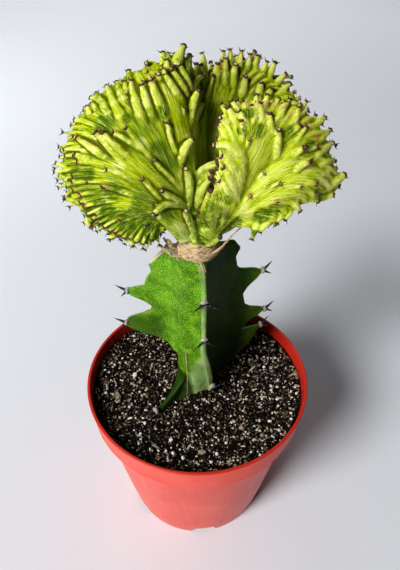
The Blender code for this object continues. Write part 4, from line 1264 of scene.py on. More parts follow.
def build_callus(looks):
    chance = random.Random(CALLUS_SEED)
    radius = looks.radius / MM
    foot = CALLUS_BOX[0].z
    profile = [(0.0, foot + CALLUS_PROFILE[0][0])]
    profile += [(radius * share, foot + rise) for rise, share in CALLUS_PROFILE]
    profile += [(0.0, foot + CALLUS_PROFILE[-1][0])]
    bm = spin_profile(profile, CALLUS_STEPS, closed=False)
    bmesh.ops.subdivide_edges(bm, edges=[edge for edge in bm.edges if abs(
        edge.verts[0].co.z - edge.verts[1].co.z) > 0.1 * MM], cuts=3, use_grid_fill=True)
    for vert in bm.verts:
        place = vert.co / MM
        flat = Vector((place.x, place.y, 0.0))
        if flat.length > 1.0:
            wave = noise.noise(Vector((place.x * 0.35, place.y * 0.35, place.z * 1.6)))
            fine = noise.noise(Vector((place.x * 0.5, place.y * 0.5, place.z * 5.0)))
            vert.co += flat.normalized() * (0.75 * wave + 0.3 * fine) * MM
    material = dry_material(looks)
    collar = finish_mesh("callus_collar", bm, material, 180)
    place_piece(collar, "graft_callus")

    strands = bmesh.new()
    for _ in range(looks.fibres):
        start = chance.uniform(0.0, 360.0)
        length = chance.uniform(25.0, 80.0)
        height = foot + chance.uniform(-0.8, 6.6)
        slope = chance.uniform(-1.4, 1.4)
        points = []
        for step in range(6):
            share = step / 5
            angle = radians(start + length * share)
            rise = height + slope * share
            level = np.interp(rise - foot, *zip(*CALLUS_PROFILE))
            reach = radius * level + 0.35 + (0.9 * share ** 3 if chance.random() < 0.25 else 0.0)
            points.append((reach * cos(angle), reach * sin(angle), rise))
        add_strand(strands, points, chance.uniform(0.16, 0.34))
    for line, width in CALLUS_STRIPS:
        for _ in range(4):
            shift = Vector([chance.uniform(-0.5, 0.5) * width for _ in range(3)])
            add_strand(strands, [Vector(point) + shift for point in line],
                       width * chance.uniform(0.25, 0.5), 5)
    add_strand(strands, DRY_FIBRE, 0.24)
    fibres = finish_mesh("callus_fibres", strands, material, 60)
    place_piece(fibres, None)


# Crest

class CrestLooks(bpy.types.PropertyGroup):
    grain: length_property("Skin grain", "Size of the skin's mesh", 0.00042, min=0.0003)
    colour: colour_property("Flesh colour", "Yellow-green of the faces", (0.50, 0.60, 0.003))
    ridge_colour: colour_property("Ridge colour", "Cream of the rib tops", (0.86, 0.87, 0.27))
    streak_colour: colour_property("Streak colour", "Green of the streaks", (0.15, 0.27, 0.002))
    shade_colour: colour_property("Shade colour", "Dark green in the grooves",
                                  (0.035, 0.075, 0.002))
    tip_colour: colour_property("Tip colour", "Brown of the areoles", (0.060, 0.026, 0.014))


SHEET_STEP = 0.5
SHEET_RISE = 56
LOBE_DEPTH = 60.0
RIM_SWELL = 1.2
SIDE_THINNING = 0.4
RIB_HEIGHT = 0.5
GROOVE_DEPTH = 0.9
RIB_STARTS = (0.48, 0.78)
ROD_SIDES = 12
ROD_LEVELS = 7
ROD_PROFILE = [(1.0, level) for level in range(ROD_LEVELS)]
# Rods from root to tip, in radii: half width, half height, and height of the back over the face.
ROD_TAPER = np.array([0.3, 0.75, 1.05, 1.1, 0.96, 0.74, 0.5])
ROD_RISE = np.array([0.3, 0.55, 0.75, 0.85, 0.85, 0.72, 0.5])
ROD_BACK = np.array([-1.0, -0.5, -0.05, 0.36, 0.74, 0.98, 1.04])
SEEN_BACK = np.array([-1.25, -0.7, -0.18, 0.26, 0.58, 0.76, 0.72])
ROD_LIFT = ROD_BACK - ROD_RISE
SEEN_LIFT = SEEN_BACK - ROD_RISE
# A rib that the photograph shows starts before its root pixel, by this share of its length.
SEEN_START = -0.3
# The share of the front ribs that end before the edge.
EARLY_RIBS = 0.3
RIB_RADII = (0.85, 1.8)
RIM_RADII = (0.75, 1.4)
TUBERCLE_LENGTH = 0.1
EDGE_SAMPLES = 400
RIB_WANDER = 0.35
RIB_FADE = 0.32
SHEET_WAVE = 0.35
# Rows of small fingers along the rims: side of the sheet, shift in ribs and share that grows.
RIM_ROWS = [(0.0, 0.0, 1.0), (0.7, 0.5, 0.55), (-0.7, 0.5, 0.5)]
SKIN_SMOOTHING = 4
BACK_AREOLES = 16
NECK_SIDES = 24
# Height and radius of the rings of the neck.
NECK_RINGS = [(190.4, 6.6), (195.0, 7.2), (206.0, 5.0)]
CREST_SPINE_LENGTH = 1.5
THORN_SIDES = 4
THORN_RADII = np.array([0.25, 0.16, 0.04])
HOLLOW_ROUNDS = 20
HOLLOW_DEPTH = 0.55
CREST_TRIANGLES = 190000
# How far from a rib's tip its brown scar reaches.
TIP_REACH = 3.0
CENTRE_RISE = (8.0, 20.0, 32.0)
# Crest colours. The light flesh, the groove, shadow, shaded olive and fold greens and the neck cream
# are painted light and shade.
PAINTED_LIGHT_FLESH = (0.66, 0.78, 0.02)
GROOVE_SHADE_GREEN = (0.10, 0.12, 0.001)
SHADOW_GREEN = (0.05, 0.12, 0.002)
SHADED_OLIVE = (0.17, 0.19, 0.0)
PAINTED_LIT_NECK_CREAM = (0.88, 0.92, 0.34)
FOLD_SHADE_GREEN = (0.075, 0.115, 0.002)
SCAR_BROWN = (0.42, 0.26, 0.05)
DRY_TAN = (0.66, 0.42, 0.13)
FELT_BROWN = (0.16, 0.08, 0.05)
FELT_PALE = (0.62, 0.48, 0.34)
THORN_PALE = (0.14, 0.08, 0.05)
# Numbers of the lobes that get painted light, the right one, and painted shade, the back and the
# centre one, and how far apart the lobes' numbers are in the third value of the skin's flow.
BACK_NUMBER = 1
RIGHT_NUMBER = 2
CENTRE_NUMBER = 3
LOBE_STRIDE = 40.0
# The pieces of the crest's skin and the lobes in each.
CREST_PIECES = {"crest_left": (0,), "crest_right": (BACK_NUMBER, RIGHT_NUMBER, CENTRE_NUMBER)}


def lobe_points(lobe, s, t):
    """Points on a lobe's middle sheet: s from the neck to the edge, t along the edge."""
    curves = [read_curve(lobe[name], t) for name in ("neck", "middle", "edge")]
    return bow(*curves, np.asarray(s, float)[..., None])


def lobe_frames(lobe, s, t):
    """The sheet's directions outward, along the edge and to the viewer's side."""
    step = 0.01
    outward = lobe_points(lobe, s + step, t) - lobe_points(lobe, s - step, t)
    along = (lobe_points(lobe, s, np.minimum(t + step, 1.0))
             - lobe_points(lobe, s, np.maximum(t - step, 0.0)))
    normal = np.cross(along, outward)
    return [v / np.linalg.norm(v, axis=-1)[..., None] for v in (outward, along, normal)]


def lobe_half(s):
    return LOBE_HALF_AT_NECK + (LOBE_HALF_AT_EDGE - LOBE_HALF_AT_NECK) * np.minimum(s, 1.0)


def edge_length(lobe):
    points = read_curve(lobe["edge"], np.linspace(0.0, 1.0, 200))
    return np.linalg.norm(np.diff(points, axis=0), axis=1).sum()


class RibRow:
    """The ribs of one face of a lobe: where each one runs and where it starts."""

    def __init__(self, lobe, side, chance):
        self.side = side
        shares = np.linspace(0.0, 1.0, EDGE_SAMPLES)
        pitch = read_even(lobe["pitch"], shares)
        wander = np.array([noise.noise(Vector((share * 9.0, side * 4.0, 0.0))) for share in shares])
        density = edge_length(lobe) / (pitch * (1.0 + RIB_WANDER * wander))
        phases = np.concatenate([[0.0], np.cumsum((density[1:] + density[:-1]) / 2.0)])
        phases /= EDGE_SAMPLES - 1
        self.shares = shares
        self.phases = phases + (0.25 if side > 0 else 0.75)
        self.count = int(self.phases[-1])
        self.starts = np.array([chance.uniform(*RIB_STARTS) for _ in range(self.count + 3)])

    def phase(self, t):
        return np.interp(t, self.shares, self.phases)

    def height(self, s, t):
        """Height above the plain face, and how far up a rib the place is, from 0 to 1."""
        phase = self.phase(t)
        rib = np.floor(phase).astype(int)
        across = 2.0 * (phase - rib) - 1.0
        crown = np.sqrt(np.maximum(0.0, 1.0 - across ** 2))
        fade = smooth_step((s - self.starts[rib]) / RIB_FADE)
        return fade * (crown * (RIB_HEIGHT + GROOVE_DEPTH) - GROOVE_DEPTH), crown * fade

    def centres(self):
        """Place along the edge of each rib's middle."""
        middles = np.arange(ceil(self.phases[0] - 0.5), self.count) + 0.5
        return np.interp(middles, self.phases, self.shares)

    def width(self, t):
        step = 0.004
        density = (self.phase(t + step) - self.phase(t - step)) / (2.0 * step)
        return 1.0 / max(density, 1.0)


def lobe_sheet(lobe, rows, forms, number):
    """A thick ribbed sheet with a rounded growing edge. Its face points colour the skin."""
    length = edge_length(lobe)
    stations = int(length / SHEET_STEP)
    shares = np.linspace(0.0, 1.0, stations + 1)
    rise = np.linspace(0.02, 1.0, SHEET_RISE) ** 0.8
    s, t = np.meshgrid(rise, shares)
    points = lobe_points(lobe, s, t)
    outward, along, normal = lobe_frames(lobe, s, t)
    faces = []
    for row in rows:
        height, crown = row.height(s, t)
        waves = SHEET_WAVE * np.sin(s * 9.0 + t * 31.0 + row.side) * smooth_step(s / 0.5)
        thin = SIDE_THINNING + (1.0 - SIDE_THINNING) * smooth_step(np.minimum(t, 1.0 - t) / 0.1)
        rounding = np.sqrt(np.clip((1.02 - s) / 0.06, 0.12, 1.0))
        offset = (lobe_half(s) * thin + height + waves) * rounding
        face = points + normal * (row.side * offset)[..., None]
        faces.append(face)
        flat = [value.reshape(-1, 3) for value in (face, outward, along)]
        forms.add_samples(*flat, (s * LOBE_DEPTH).ravel(), (t * length).ravel(),
                          (crown * 0.35).ravel(), number)
    rims = []
    for turn in (45.0, 90.0, 135.0):
        angle = radians(turn)
        swell = normal[:, -1] * (0.9 * cos(angle))
        rims.append(points[:, -1] + swell + outward[:, -1] * (RIM_SWELL * sin(angle)))
    rings = np.concatenate([faces[0], np.stack(rims, axis=1), faces[1][:, ::-1]], axis=1)
    return bend_grid(rings)


def tube_template(profile, sides):
    """Points and mesh of a closed tube whose rings are given as (radius, height).

    A rod's rings have a radius of 1 and whole heights, which number its levels.
    """
    turns = np.arange(sides) * 2.0 * pi / sides
    rings = np.array([np.column_stack([np.cos(turns) * radius, np.sin(turns) * radius,
                                       np.full(sides, height)]) for radius, height in profile])
    mesh = made_mesh("tube_template", bend_grid(rings / MM))
    return get_places(mesh), mesh


def bend_rod(shape, centres, widths, rises, sideways, upwards):
    """Points of a rod bent along its centres. All but the shape have one row for each level."""
    level = np.rint(shape[:, 2]).astype(int)
    across = sideways[level] * (shape[:, :1] * widths[level, None])
    rise = upwards[level] * (shape[:, 1:2] * rises[level, None])
    return centres[level] + across + rise


class CrestForms:
    """The crest's rods, the samples that colour its skin and the tips that carry areoles."""

    def __init__(self):
        self.shape, self.template = tube_template(ROD_PROFILE, ROD_SIDES)
        self.rods = []
        self.samples = []
        self.tips = []

    def add_samples(self, places, outward, along, rise, run, crown, lobe):
        size = len(places)
        self.samples.append([places, outward, along, rise, run, crown, np.full(size, lobe)])

    def add_rod(self, centres, radius, outward, along, upwards, rise, run, lobe, face_lean=0.0):
        radii = radius * ROD_TAPER
        places = bend_rod(self.shape, centres, radii, radius * ROD_RISE, along, upwards)
        level = np.rint(self.shape[:, 2]).astype(int)
        crown = (0.5 + 0.5 * self.shape[:, 1]) * np.clip(level / 3.0, 0.2, 1.0)
        self.rods.append((lobe, places))
        run = np.broadcast_to(run, ROD_LEVELS)[level] + self.shape[:, 0] * radii[level]
        self.add_samples(places, outward[level], along[level], rise[level], run, crown, lobe)
        lean = centres[-1] - centres[-2]
        lean = lean / np.linalg.norm(lean) + upwards[-1] * face_lean
        lean /= np.linalg.norm(lean)
        end = centres[-1] + upwards[-1] * radii[-1] * 0.4 * face_lean
        self.tips.append((end, lean, along[-1], radii[-1], face_lean > 0.0))

    def add_rib(self, number, lobe, side, t, start, end, radius, bend, chance, face_lean=0.0):
        """A rib that rises out of the face and ends free. The end may lie past the edge."""
        s = np.linspace(start, end, ROD_LEVELS)
        wander = chance.uniform(-0.5, 0.5) / edge_length(lobe)
        shares = np.clip(t + wander * np.sin(s * 9.0 + t * 40.0), 0.0, 1.0)
        on_face = np.minimum(s, 1.0)
        outward, along, normal = lobe_frames(lobe, on_face, shares)
        past = np.maximum(s - 1.0, 0.0)[:, None] * LOBE_DEPTH
        lift = lobe_half(on_face) * abs(side) + radius * ROD_LIFT * max(abs(side), 0.3)
        upwards = normal if side >= 0.0 else -normal
        sway = along * chance.gauss(0.0, 0.3) + upwards * chance.gauss(0.0, 0.2)
        centres = (lobe_points(lobe, on_face, shares) + (outward + sway) * past
                   + upwards * (lift[:, None] + past * bend))
        self.add_rod(centres, radius, outward, along, upwards, s * LOBE_DEPTH,
                     t * edge_length(lobe), number, face_lean)

    def add_seen_rib(self, number, depths, pixels, rise, run, radius, stand):
        """A rib whose root, middle and tip the photograph shows at three pixels."""
        eye = np.array(camera_axes()[3])
        rays = [photo_ray(pixel) for pixel in pixels]
        knots = np.array([eye + ray * depth for ray, depth in zip(rays, depths)])
        share = np.linspace(SEEN_START, 1.0, ROD_LEVELS)[:, None]
        line = bow(*knots, share)
        toward = -rays[1] / np.linalg.norm(rays[1])
        centres = line + toward * (radius * SEEN_LIFT[:, None] + stand * share ** 2)
        outward = np.gradient(centres, axis=0)
        outward /= np.linalg.norm(outward, axis=1)[:, None]
        along = np.cross(toward, outward)
        along /= np.linalg.norm(along, axis=1)[:, None]
        upwards = np.cross(outward, along)
        places = 2.0 * share[:, 0]
        self.add_rod(centres, radius, outward, along, upwards,
                     np.interp(places, (0.0, 1.0, 2.0), rise),
                     np.interp(places, (0.0, 1.0, 2.0), run), number, 0.5 if stand > 0.5 else 0.0)


class SeenFace:
    """Where the photograph shows the points of a lobe's front face."""

    def __init__(self, lobe):
        grids = np.meshgrid(np.linspace(0.1, 1.0, 73), np.linspace(0.0, 1.0, 161))
        self.s, self.t = [grid.ravel() for grid in grids]
        normal = lobe_frames(lobe, self.s, self.t)[2]
        places = lobe_points(lobe, self.s, self.t) + normal * lobe_half(self.s)[..., None]
        self.pixels = photo_pixels(places)
        back, eye = [np.array(axis) for axis in camera_axes()[2:]]
        self.depths = (eye - places) @ back

    def find(self, pixel):
        """Place on the face nearest to what the pixel shows, as s, t and distance."""
        miss = np.linalg.norm(self.pixels - np.array(pixel), axis=1) + 0.03 * self.depths
        nearest = np.argmin(miss)
        return self.s[nearest], self.t[nearest], self.depths[nearest]


def photo_ray(pixel):
    """The way from the camera to a pixel, one millimetre along its axis."""
    right, up, back = camera_axes()[:3]
    across = (pixel[0] - PHOTO_SIZE[0] / 2.0) / FOCAL_PIXELS
    rise = (PHOTO_SIZE[1] / 2.0 - pixel[1]) / FOCAL_PIXELS
    return np.array(right * across + up * rise - back)


def grow_lobe(forms, number, name, lobe, chance):
    """The ribbed sheet of one lobe, with its ribs and areoles added to the forms."""
    rows = [RibRow(lobe, side, chance) for side in (1.0, -1.0)]
    sheet = lobe_sheet(lobe, rows, forms, number)
    length = edge_length(lobe)
    for row, reaches in zip(rows, (lobe["front"], lobe["back"])):
        for i, t in enumerate(row.centres()):
            if row.side > 0.0 and chance.random() > read_even(lobe["fill"], t):
                continue
            radius = 0.44 * row.width(t) * length * chance.uniform(0.86, 1.1)
            radius = float(np.clip(radius, *RIB_RADII))
            start = row.starts[i + 1] + 0.04
            end = 1.0 + float(read_even(reaches, t)) * chance.uniform(0.7, 1.25) / LOBE_DEPTH
            if row.side > 0.0 and chance.random() < EARLY_RIBS:
                end = chance.uniform(0.78, 0.95)
            forms.add_rib(number, lobe, row.side, t, min(start, end - 0.18), end, radius, 0.25,
                          chance, 0.35)
    row = rows[0]
    for side, shift, share in RIM_ROWS:
        for phase in range(1, int(row.phases[-1]) + 1):
            if chance.random() > share:
                continue
            phase += shift + chance.uniform(-0.2, 0.2)
            t = float(np.interp(phase, row.phases, row.shares))
            radius = 0.36 * row.width(t) * length * chance.uniform(0.85, 1.1)
            reach = float(read_even(lobe["rim"], t)) * chance.uniform(0.6, 1.2)
            forms.add_rib(number, lobe, side, t, 0.86, 1.0 + reach / LOBE_DEPTH,
                          float(np.clip(radius, *RIM_RADII)), 0.25 * side, chance)
    seen = SeenFace(lobe)
    for pixel in FACE_AREOLES.get(name, []):
        s, t, _ = seen.find(pixel)
        forms.add_rib(number, lobe, 1.0, t, s - TUBERCLE_LENGTH, s, chance.uniform(0.85, 1.05), 0.0,
                      chance, 2.0)
    for *places, radius, stand in PHOTO_RIBS[name]:
        pixels = list(zip(places[::2], places[1::2]))
        s, t, depths = np.array([seen.find(pixel) for pixel in pixels]).T
        forms.add_seen_rib(number, depths, pixels, s * LOBE_DEPTH, t * length, radius, stand)
    for _ in range(BACK_AREOLES):
        s = chance.uniform(0.45, 0.88)
        forms.add_rib(number, lobe, -1.0, chance.uniform(0.06, 0.94), s - TUBERCLE_LENGTH, s,
                      chance.uniform(1.1, 1.4), 0.0, chance, 2.0)
    return sheet


def crest_forms(chance):
    """The forms of the crest, and a bmesh of all closed shapes for each group of lobes."""
    forms = CrestForms()
    eye = camera_axes()[3]
    sheets = {}
    for number, (name, lobe) in enumerate(LOBES.items()):
        sheets[number] = grow_lobe(forms, number, name, lobe, chance)
    for *places, root_back, tip_back, radius in CENTRE_RIBS:
        pixels = list(zip(places[::2], places[1::2]))
        rays = [photo_ray(pixel) for pixel in pixels]
        stands = (root_back, (root_back + tip_back) / 2.0, tip_back)
        depths = [(stand - eye[1]) / ray[1] for stand, ray in zip(stands, rays)]
        forms.add_seen_rib(CENTRE_NUMBER, depths, pixels, CENTRE_RISE,
                           np.full(3, pixels[0][0] * 0.5), radius, 0.0)
    skins = {}
    for piece, numbers in CREST_PIECES.items():
        angles = [radians(360.0 / NECK_SIDES * i) for i in range(NECK_SIDES)]
        rings = [[(radius * cos(angle), radius * sin(angle), height) for angle in angles]
                 for height, radius in NECK_RINGS]
        parts = [bend_grid(np.array(rings))]
        parts += [sheets[number] for number in numbers if number in sheets]
        rods = [places for number, places in forms.rods if number in numbers]
        whole = bmesh.new()
        for _ in rods:
            whole.from_mesh(forms.template)
        for vert, place in zip(whole.verts, np.concatenate(rods) * MM):
            vert.co = place
        for part in parts:
            mesh = made_mesh("part", part)
            whole.from_mesh(mesh)
            bpy.data.meshes.remove(mesh)
        skins[piece] = whole
    return forms, skins


def keep_largest_skin(thing):
    """Drop loose scraps of the skin."""
    bm = bmesh.new()
    bm.from_mesh(thing.data)
    waiting = set(bm.faces)
    skins = []
    while waiting:
        stack = [waiting.pop()]
        skin = []
        while stack:
            face = stack.pop()
            skin.append(face)
            for edge in face.edges:
                for other in edge.link_faces:
                    if other in waiting:
                        waiting.remove(other)
                        stack.append(other)
        skins.append(skin)
    skins.sort(key=len)
    for skin in skins[:-1]:
        bmesh.ops.delete(bm, geom=skin, context="FACES")
    bm.to_mesh(thing.data)
    bm.free()


class FlowFinder:
    """Finds the places on the lobes, and the tips, nearest to points of the skin."""

    def __init__(self, forms):
        self.samples = [np.concatenate([part[k] for part in forms.samples]) for k in range(7)]
        self.tree = self.make_tree(self.samples[0])
        self.tip_tree = self.make_tree([tip[0] for tip in forms.tips])

    def make_tree(self, places):
        tree = kdtree.KDTree(len(places))
        for i, place in enumerate(places):
            tree.insert(place, i)
        tree.balance()
        return tree

    def mark(self, mesh):
        """Give the skin its flow along the ribs, height on them and nearness to tips."""
        places, outward, along, rise, run, crown, lobe = self.samples
        points = get_places(mesh) / MM
        nearest = np.array([self.tree.find(point)[1] for point in points])
        near_tip = np.array([self.tip_tree.find(point)[2] for point in points])
        offset = points - places[nearest]
        flow = np.column_stack([run[nearest] + (offset * along[nearest]).sum(axis=1),
                                rise[nearest] + (offset * outward[nearest]).sum(axis=1),
                                lobe[nearest] * LOBE_STRIDE])
        add_vector(mesh, "flow", flow)
        add_value(mesh, "ridge", crown[nearest])
        add_value(mesh, "tip", np.clip(1.0 - near_tip / TIP_REACH, 0.0, 1.0))
        pixels = photo_pixels(points)
        for name, patches in (("leafy_and_shaded", GREEN_AND_SHADE_PATCHES), ("cream_and_highlight", CREAM_AND_HIGHLIGHT_PATCHES),
                              ("scarred", SCAR_PATCHES), ("fold_shaded", FOLD_SHADE_PATCHES)):
            add_value(mesh, name, near_patches(pixels, patches))


def near_patches(pixels, patches):
    """How well inside one of the patches each pixel lies, from 0 to 1."""
    share = np.zeros(len(pixels))
    for *centre, radius in patches:
        distance = np.linalg.norm(pixels - np.array(centre), axis=1)
        share = np.maximum(share, smooth_step(1.5 - distance / radius))
    return share


def add_hollow(mesh, rounds, depth):
    """Mark how far each point lies under its surroundings: over 0 in grooves, under 0 on ridges."""
    places = get_places(mesh) / MM
    count = len(places)
    ends = np.empty(len(mesh.edges) * 2, int)
    mesh.edges.foreach_get("vertices", ends)
    first, second = ends.reshape(-1, 2).T
    normals = np.empty(count * 3)
    mesh.vertex_normals.foreach_get("vector", normals)
    number = np.maximum(np.bincount(ends, minlength=count), 1)
    even = places.copy()
    for _ in range(rounds):
        for axis in range(3):
            value = even[:, axis]
            total = (np.bincount(first, value[second], count)
                     + np.bincount(second, value[first], count))
            even[:, axis] = 0.5 * value + 0.5 * total / number
    hollow = ((even - places) * normals.reshape(-1, 3)).sum(axis=1)
    add_value(mesh, "hollow", np.clip(hollow / depth, -1.0, 1.0))


def crest_material(looks):
    """Yellow-green flesh, cream on the ribs, with green streaks that radiate from the neck, and
    painted
    light and shade: a lighter right lobe, darker back and centre lobes, dark grooves, shadow patches
    and neck fold, and cream highlights.
    """
    colour = tuple(looks.colour)
    leaf = tuple(looks.streak_colour)
    cream = tuple(looks.ridge_colour)
    finish = Finish("crest_skin", colour)
    times = finish.times
    ramp = finish.ramp
    ridge, tip, hollow, leafy_and_shaded, cream_and_highlight, fold_shaded, scarred = [finish.mark(name) for name in (
        "ridge", "tip", "hollow", "leafy_and_shaded", "cream_and_highlight", "fold_shaded", "scarred")]
    flow = finish.mark("flow", "Vector")
    rise, lobe = finish.parts(flow)[1:]
    level = finish.parts(finish.places)["Z"]
    fine = finish.streaks(flow, (1.5, 0.17, 1.0), 5.0, roughness=0.65, distortion=0.3)
    broad = finish.streaks(flow, (0.3, 0.06, 1.0), 3.0)
    pale = finish.streaks(flow, (0.7, 0.07, 1.0), 4.0, (7.0, 3.0, 0.0))

    def on_lobe(number):
        """1 on one lobe and 0 on the others."""
        middle = number * LOBE_STRIDE
        return times(ramp(lobe, middle - 20.0, middle - 2.0),
                     ramp(lobe, middle + 2.0, middle + 20.0, 1.0, 0.0))

    # Painted light: the right lobe is painted lighter, less green and with weaker groove shade.
    painted_light_lobe = on_lobe(RIGHT_NUMBER)
    # Greener in hollows as painted shade, on the green patches, which are partly painted shade, and
    # towards the bottom; less green on the right lobe, which is painted lit.
    green = finish.weighted(
        (broad, 0.6), (finish.noise(80.0, 4.0), 0.5), (hollow, 0.08), (painted_light_lobe, -0.09),
        (ramp(level, 0.222, 0.196, 0.0, 0.10), 1.0), (leafy_and_shaded, 0.17), (cream_and_highlight, -0.06))
    crown = finish.weighted((hollow, -0.9), (ridge, 0.2), (painted_light_lobe, 0.15), (cream_and_highlight, 0.5),
                            (leafy_and_shaded, -0.35))
    # Cream on the rib tops and in the cream patches: partly the flesh's own cream, partly painted
    # highlight.
    cream_and_highlight_tops = times(ramp(pale, 0.38, 0.55, 0.2, 1.0), ramp(crown, 0.05, 0.6))
    veins = times(ramp(fine, 0.48, 0.39, 0.0, 0.9), ramp(pale, 0.42, 0.56, 0.15, 1.0))
    # Dark green lines, stronger in hollows: partly painted shade.
    strokes_and_hollow_shade = times(ramp(fine, 0.52, 0.60, 0.0, 0.9), ramp(hollow, -0.4, 0.1, 0.3, 1.0))
    deep = times(ramp(fine, 0.56, 0.66), ramp(green, 0.48, 0.66))
    # Painted shade in the grooves, weaker on the right lobe.
    grooves = times(ramp(hollow, -0.02, 0.27, 0.0, 0.97), ramp(painted_light_lobe, 0.0, 1.0, 1.0, 0.32))
    shadows = times(ramp(leafy_and_shaded, 0.1, 0.8, 0.0, 0.8), ramp(fine, 0.42, 0.56, 0.25, 1.0))
    # Painted shade on the back and centre lobes.
    shaded = finish.weighted((on_lobe(BACK_NUMBER), 0.28), (on_lobe(CENTRE_NUMBER), 0.18))
    near_neck = times(ramp(rise, 16.0, 4.0, 0.0, 0.85), ramp(fine, 0.44, 0.54, 0.2, 1.0))
    # Painted light: cream on the low neck inside the cream patches.
    painted_lit_neck = times(times(cream_and_highlight, ramp(level, 0.200, 0.190, 0.0, 0.8)),
                      ramp(fine, 0.56, 0.44, 0.25, 1.0))
    # Painted shade in the neck's fold.
    painted_fold_shade = times(fold_shaded, ramp(fine, 0.42, 0.54, 0.5, 0.88))
    scars = times(ramp(tip, 0.2, 0.75, 0.0, 0.8), ramp(finish.noise(240.0), 0.45, 0.65))
    dry = times(ramp(scarred, 0.1, 1.0, 0.0, 0.85), ramp(finish.noise(700.0, 4.0), 0.44, 0.56))
    tint = finish.layers(
        colour, (times(painted_light_lobe, 0.6), PAINTED_LIGHT_FLESH), (ramp(green, 0.5, 0.64, 0.0, 0.75), leaf),
        (times(cream_and_highlight_tops, 0.9), cream), (veins, cream), (strokes_and_hollow_shade, leaf),
        (deep, tuple(looks.shade_colour)), (grooves, GROOVE_SHADE_GREEN), (shadows, SHADOW_GREEN),
        (shaded, SHADED_OLIVE), (near_neck, leaf), (painted_lit_neck, PAINTED_LIT_NECK_CREAM), (painted_fold_shade, FOLD_SHADE_GREEN),
        (scars, SCAR_BROWN), (dry, DRY_TAN))
    finish.surface(tint, ramp(fine, 0.3, 0.7, 0.38, 0.55), 0.07)
    finish.flesh(0.12, 1.0, (0.8, 1.0, 0.05))
    finish.bump(finish.plus(fine, times(pale, 0.7)), 0.6, 0.0005)
    return finish.material


def areole_material(looks):
    """Dark brown felt, paler in the middle of some."""
    colour = tuple(looks.tip_colour)
    finish = Finish("crest_areole", colour)
    felt = finish.noise(1700.0, 3.0)
    finish.surface(finish.layers(
        colour, (finish.ramp(felt, 0.4, 0.75), FELT_BROWN),
        (finish.ramp(finish.mark("tone"), 0.5, 0.9, 0.0, 0.9), FELT_PALE)), 0.75)
    finish.bump(felt, 0.5, 0.0002)
    return finish.material


CAP_SIDES = 10
# The felt cap on a rib's end, as (share of the radius, height in radii) from its rim to its middle.
CAP_PROFILE = [(0.8, -0.7), (1.04, -0.35), (1.12, 0.1), (1.0, 0.5), (0.62, 0.78), (0.2, 0.86)]


def build_tips(looks, tips, chance):
    """Felt caps on the rib ends, each with a pair of small spines."""
    shape, template = tube_template(CAP_PROFILE, CAP_SIDES)
    thorn, thorn_template = tube_template(ROD_PROFILE[:3], THORN_SIDES)
    caps = []
    tones = []
    thorns = []
    for tip, lean, along, radius, on_face in tips:
        across = along - lean * (along @ lean)
        across /= np.linalg.norm(across)
        upwards = np.cross(lean, across)
        size = min(max(radius, 0.52), 0.85 if on_face else 1.3)
        lumps = 1.0 + np.array([[chance.uniform(-0.12, 0.12)] for _ in shape])
        turned = shape * lumps * size
        caps.append(tip + turned[:, :1] * across + turned[:, 1:2] * upwards + turned[:, 2:] * lean)
        pale = chance.uniform(0.35, 1.0) + (0.25 if on_face else -0.1)
        tones.append(pale * np.clip(1.35 - np.hypot(shape[:, 0], shape[:, 1]), 0.0, 1.0))
        for sign in (-1.0, 1.0):
            way = lean * chance.uniform(0.6, 1.0) + across * sign * chance.uniform(0.5, 0.9)
            way = way + upwards * chance.uniform(-0.3, 0.3)
            way /= np.linalg.norm(way)
            length = CREST_SPINE_LENGTH * chance.uniform(0.6, 1.15)
            start = tip + across * sign * size * 0.75
            centres = start + way * length * np.array([[0.0], [0.5], [1.0]])
            centres[2] += lean * 0.15 * length
            side = np.cross(way, upwards)
            side /= np.linalg.norm(side)
            thorns.append(bend_rod(thorn, centres, THORN_RADII, THORN_RADII, np.tile(side, (3, 1)),
                                   np.tile(np.cross(side, way), (3, 1))))
    caps = stamp_shapes("crest_areoles", template, caps, areole_material(looks), 180)
    add_value(caps.data, "tone", np.concatenate(tones))
    place_piece(caps, None)
    horn = horn_material("crest_spine_horn", tuple(looks.tip_colour), THORN_PALE)
    thorns = stamp_shapes("crest_spines", thorn_template, thorns, horn, 60)
    place_piece(thorns, None)


def build_crest(looks):
    chance = random.Random(CREST_SEED)
    forms, skins = crest_forms(chance)
    finder = FlowFinder(forms)
    material = crest_material(looks)
    for piece, skin in skins.items():
        crest = finish_mesh(piece, skin, material)
        apply_modifier(crest, "REMESH", mode="VOXEL", voxel_size=looks.grain)
        keep_largest_skin(crest)
        apply_modifier(crest, "SMOOTH", factor=0.5, iterations=SKIN_SMOOTHING)
        triangles = sum(len(face.vertices) - 2 for face in crest.data.polygons)
        if triangles > CREST_TRIANGLES:
            apply_modifier(crest, "DECIMATE", ratio=CREST_TRIANGLES / triangles)
        crest.data.shade_smooth()
        finder.mark(crest.data)
        add_hollow(crest.data, HOLLOW_ROUNDS, HOLLOW_DEPTH)
        place_piece(crest, "crest")
    build_tips(looks, forms.tips, chance)


# Stage

class StageLooks(bpy.types.PropertyGroup):
    floor_colour: colour_property("Floor colour", "Colour of the pale floor", (0.79, 0.82, 0.86))
    key_power: FloatProperty(name="Key light", description="Power of the soft key light",
                             unit="POWER", default=49.0, min=0.0)
    back_power: FloatProperty(name="Background light", description="Power of the light that "
                              "brightens the floor behind", unit="POWER", default=7.8, min=0.0)
    sky_strength: FloatProperty(name="Sky light", description="Strength of the light from all round",
                                default=0.05, min=0.0)


KEY_PLACE = Vector((-1.15, -1.23, 1.54))
KEY_AIM = Vector((0.0, 0.0, 0.13))
KEY_SIZE = 0.85
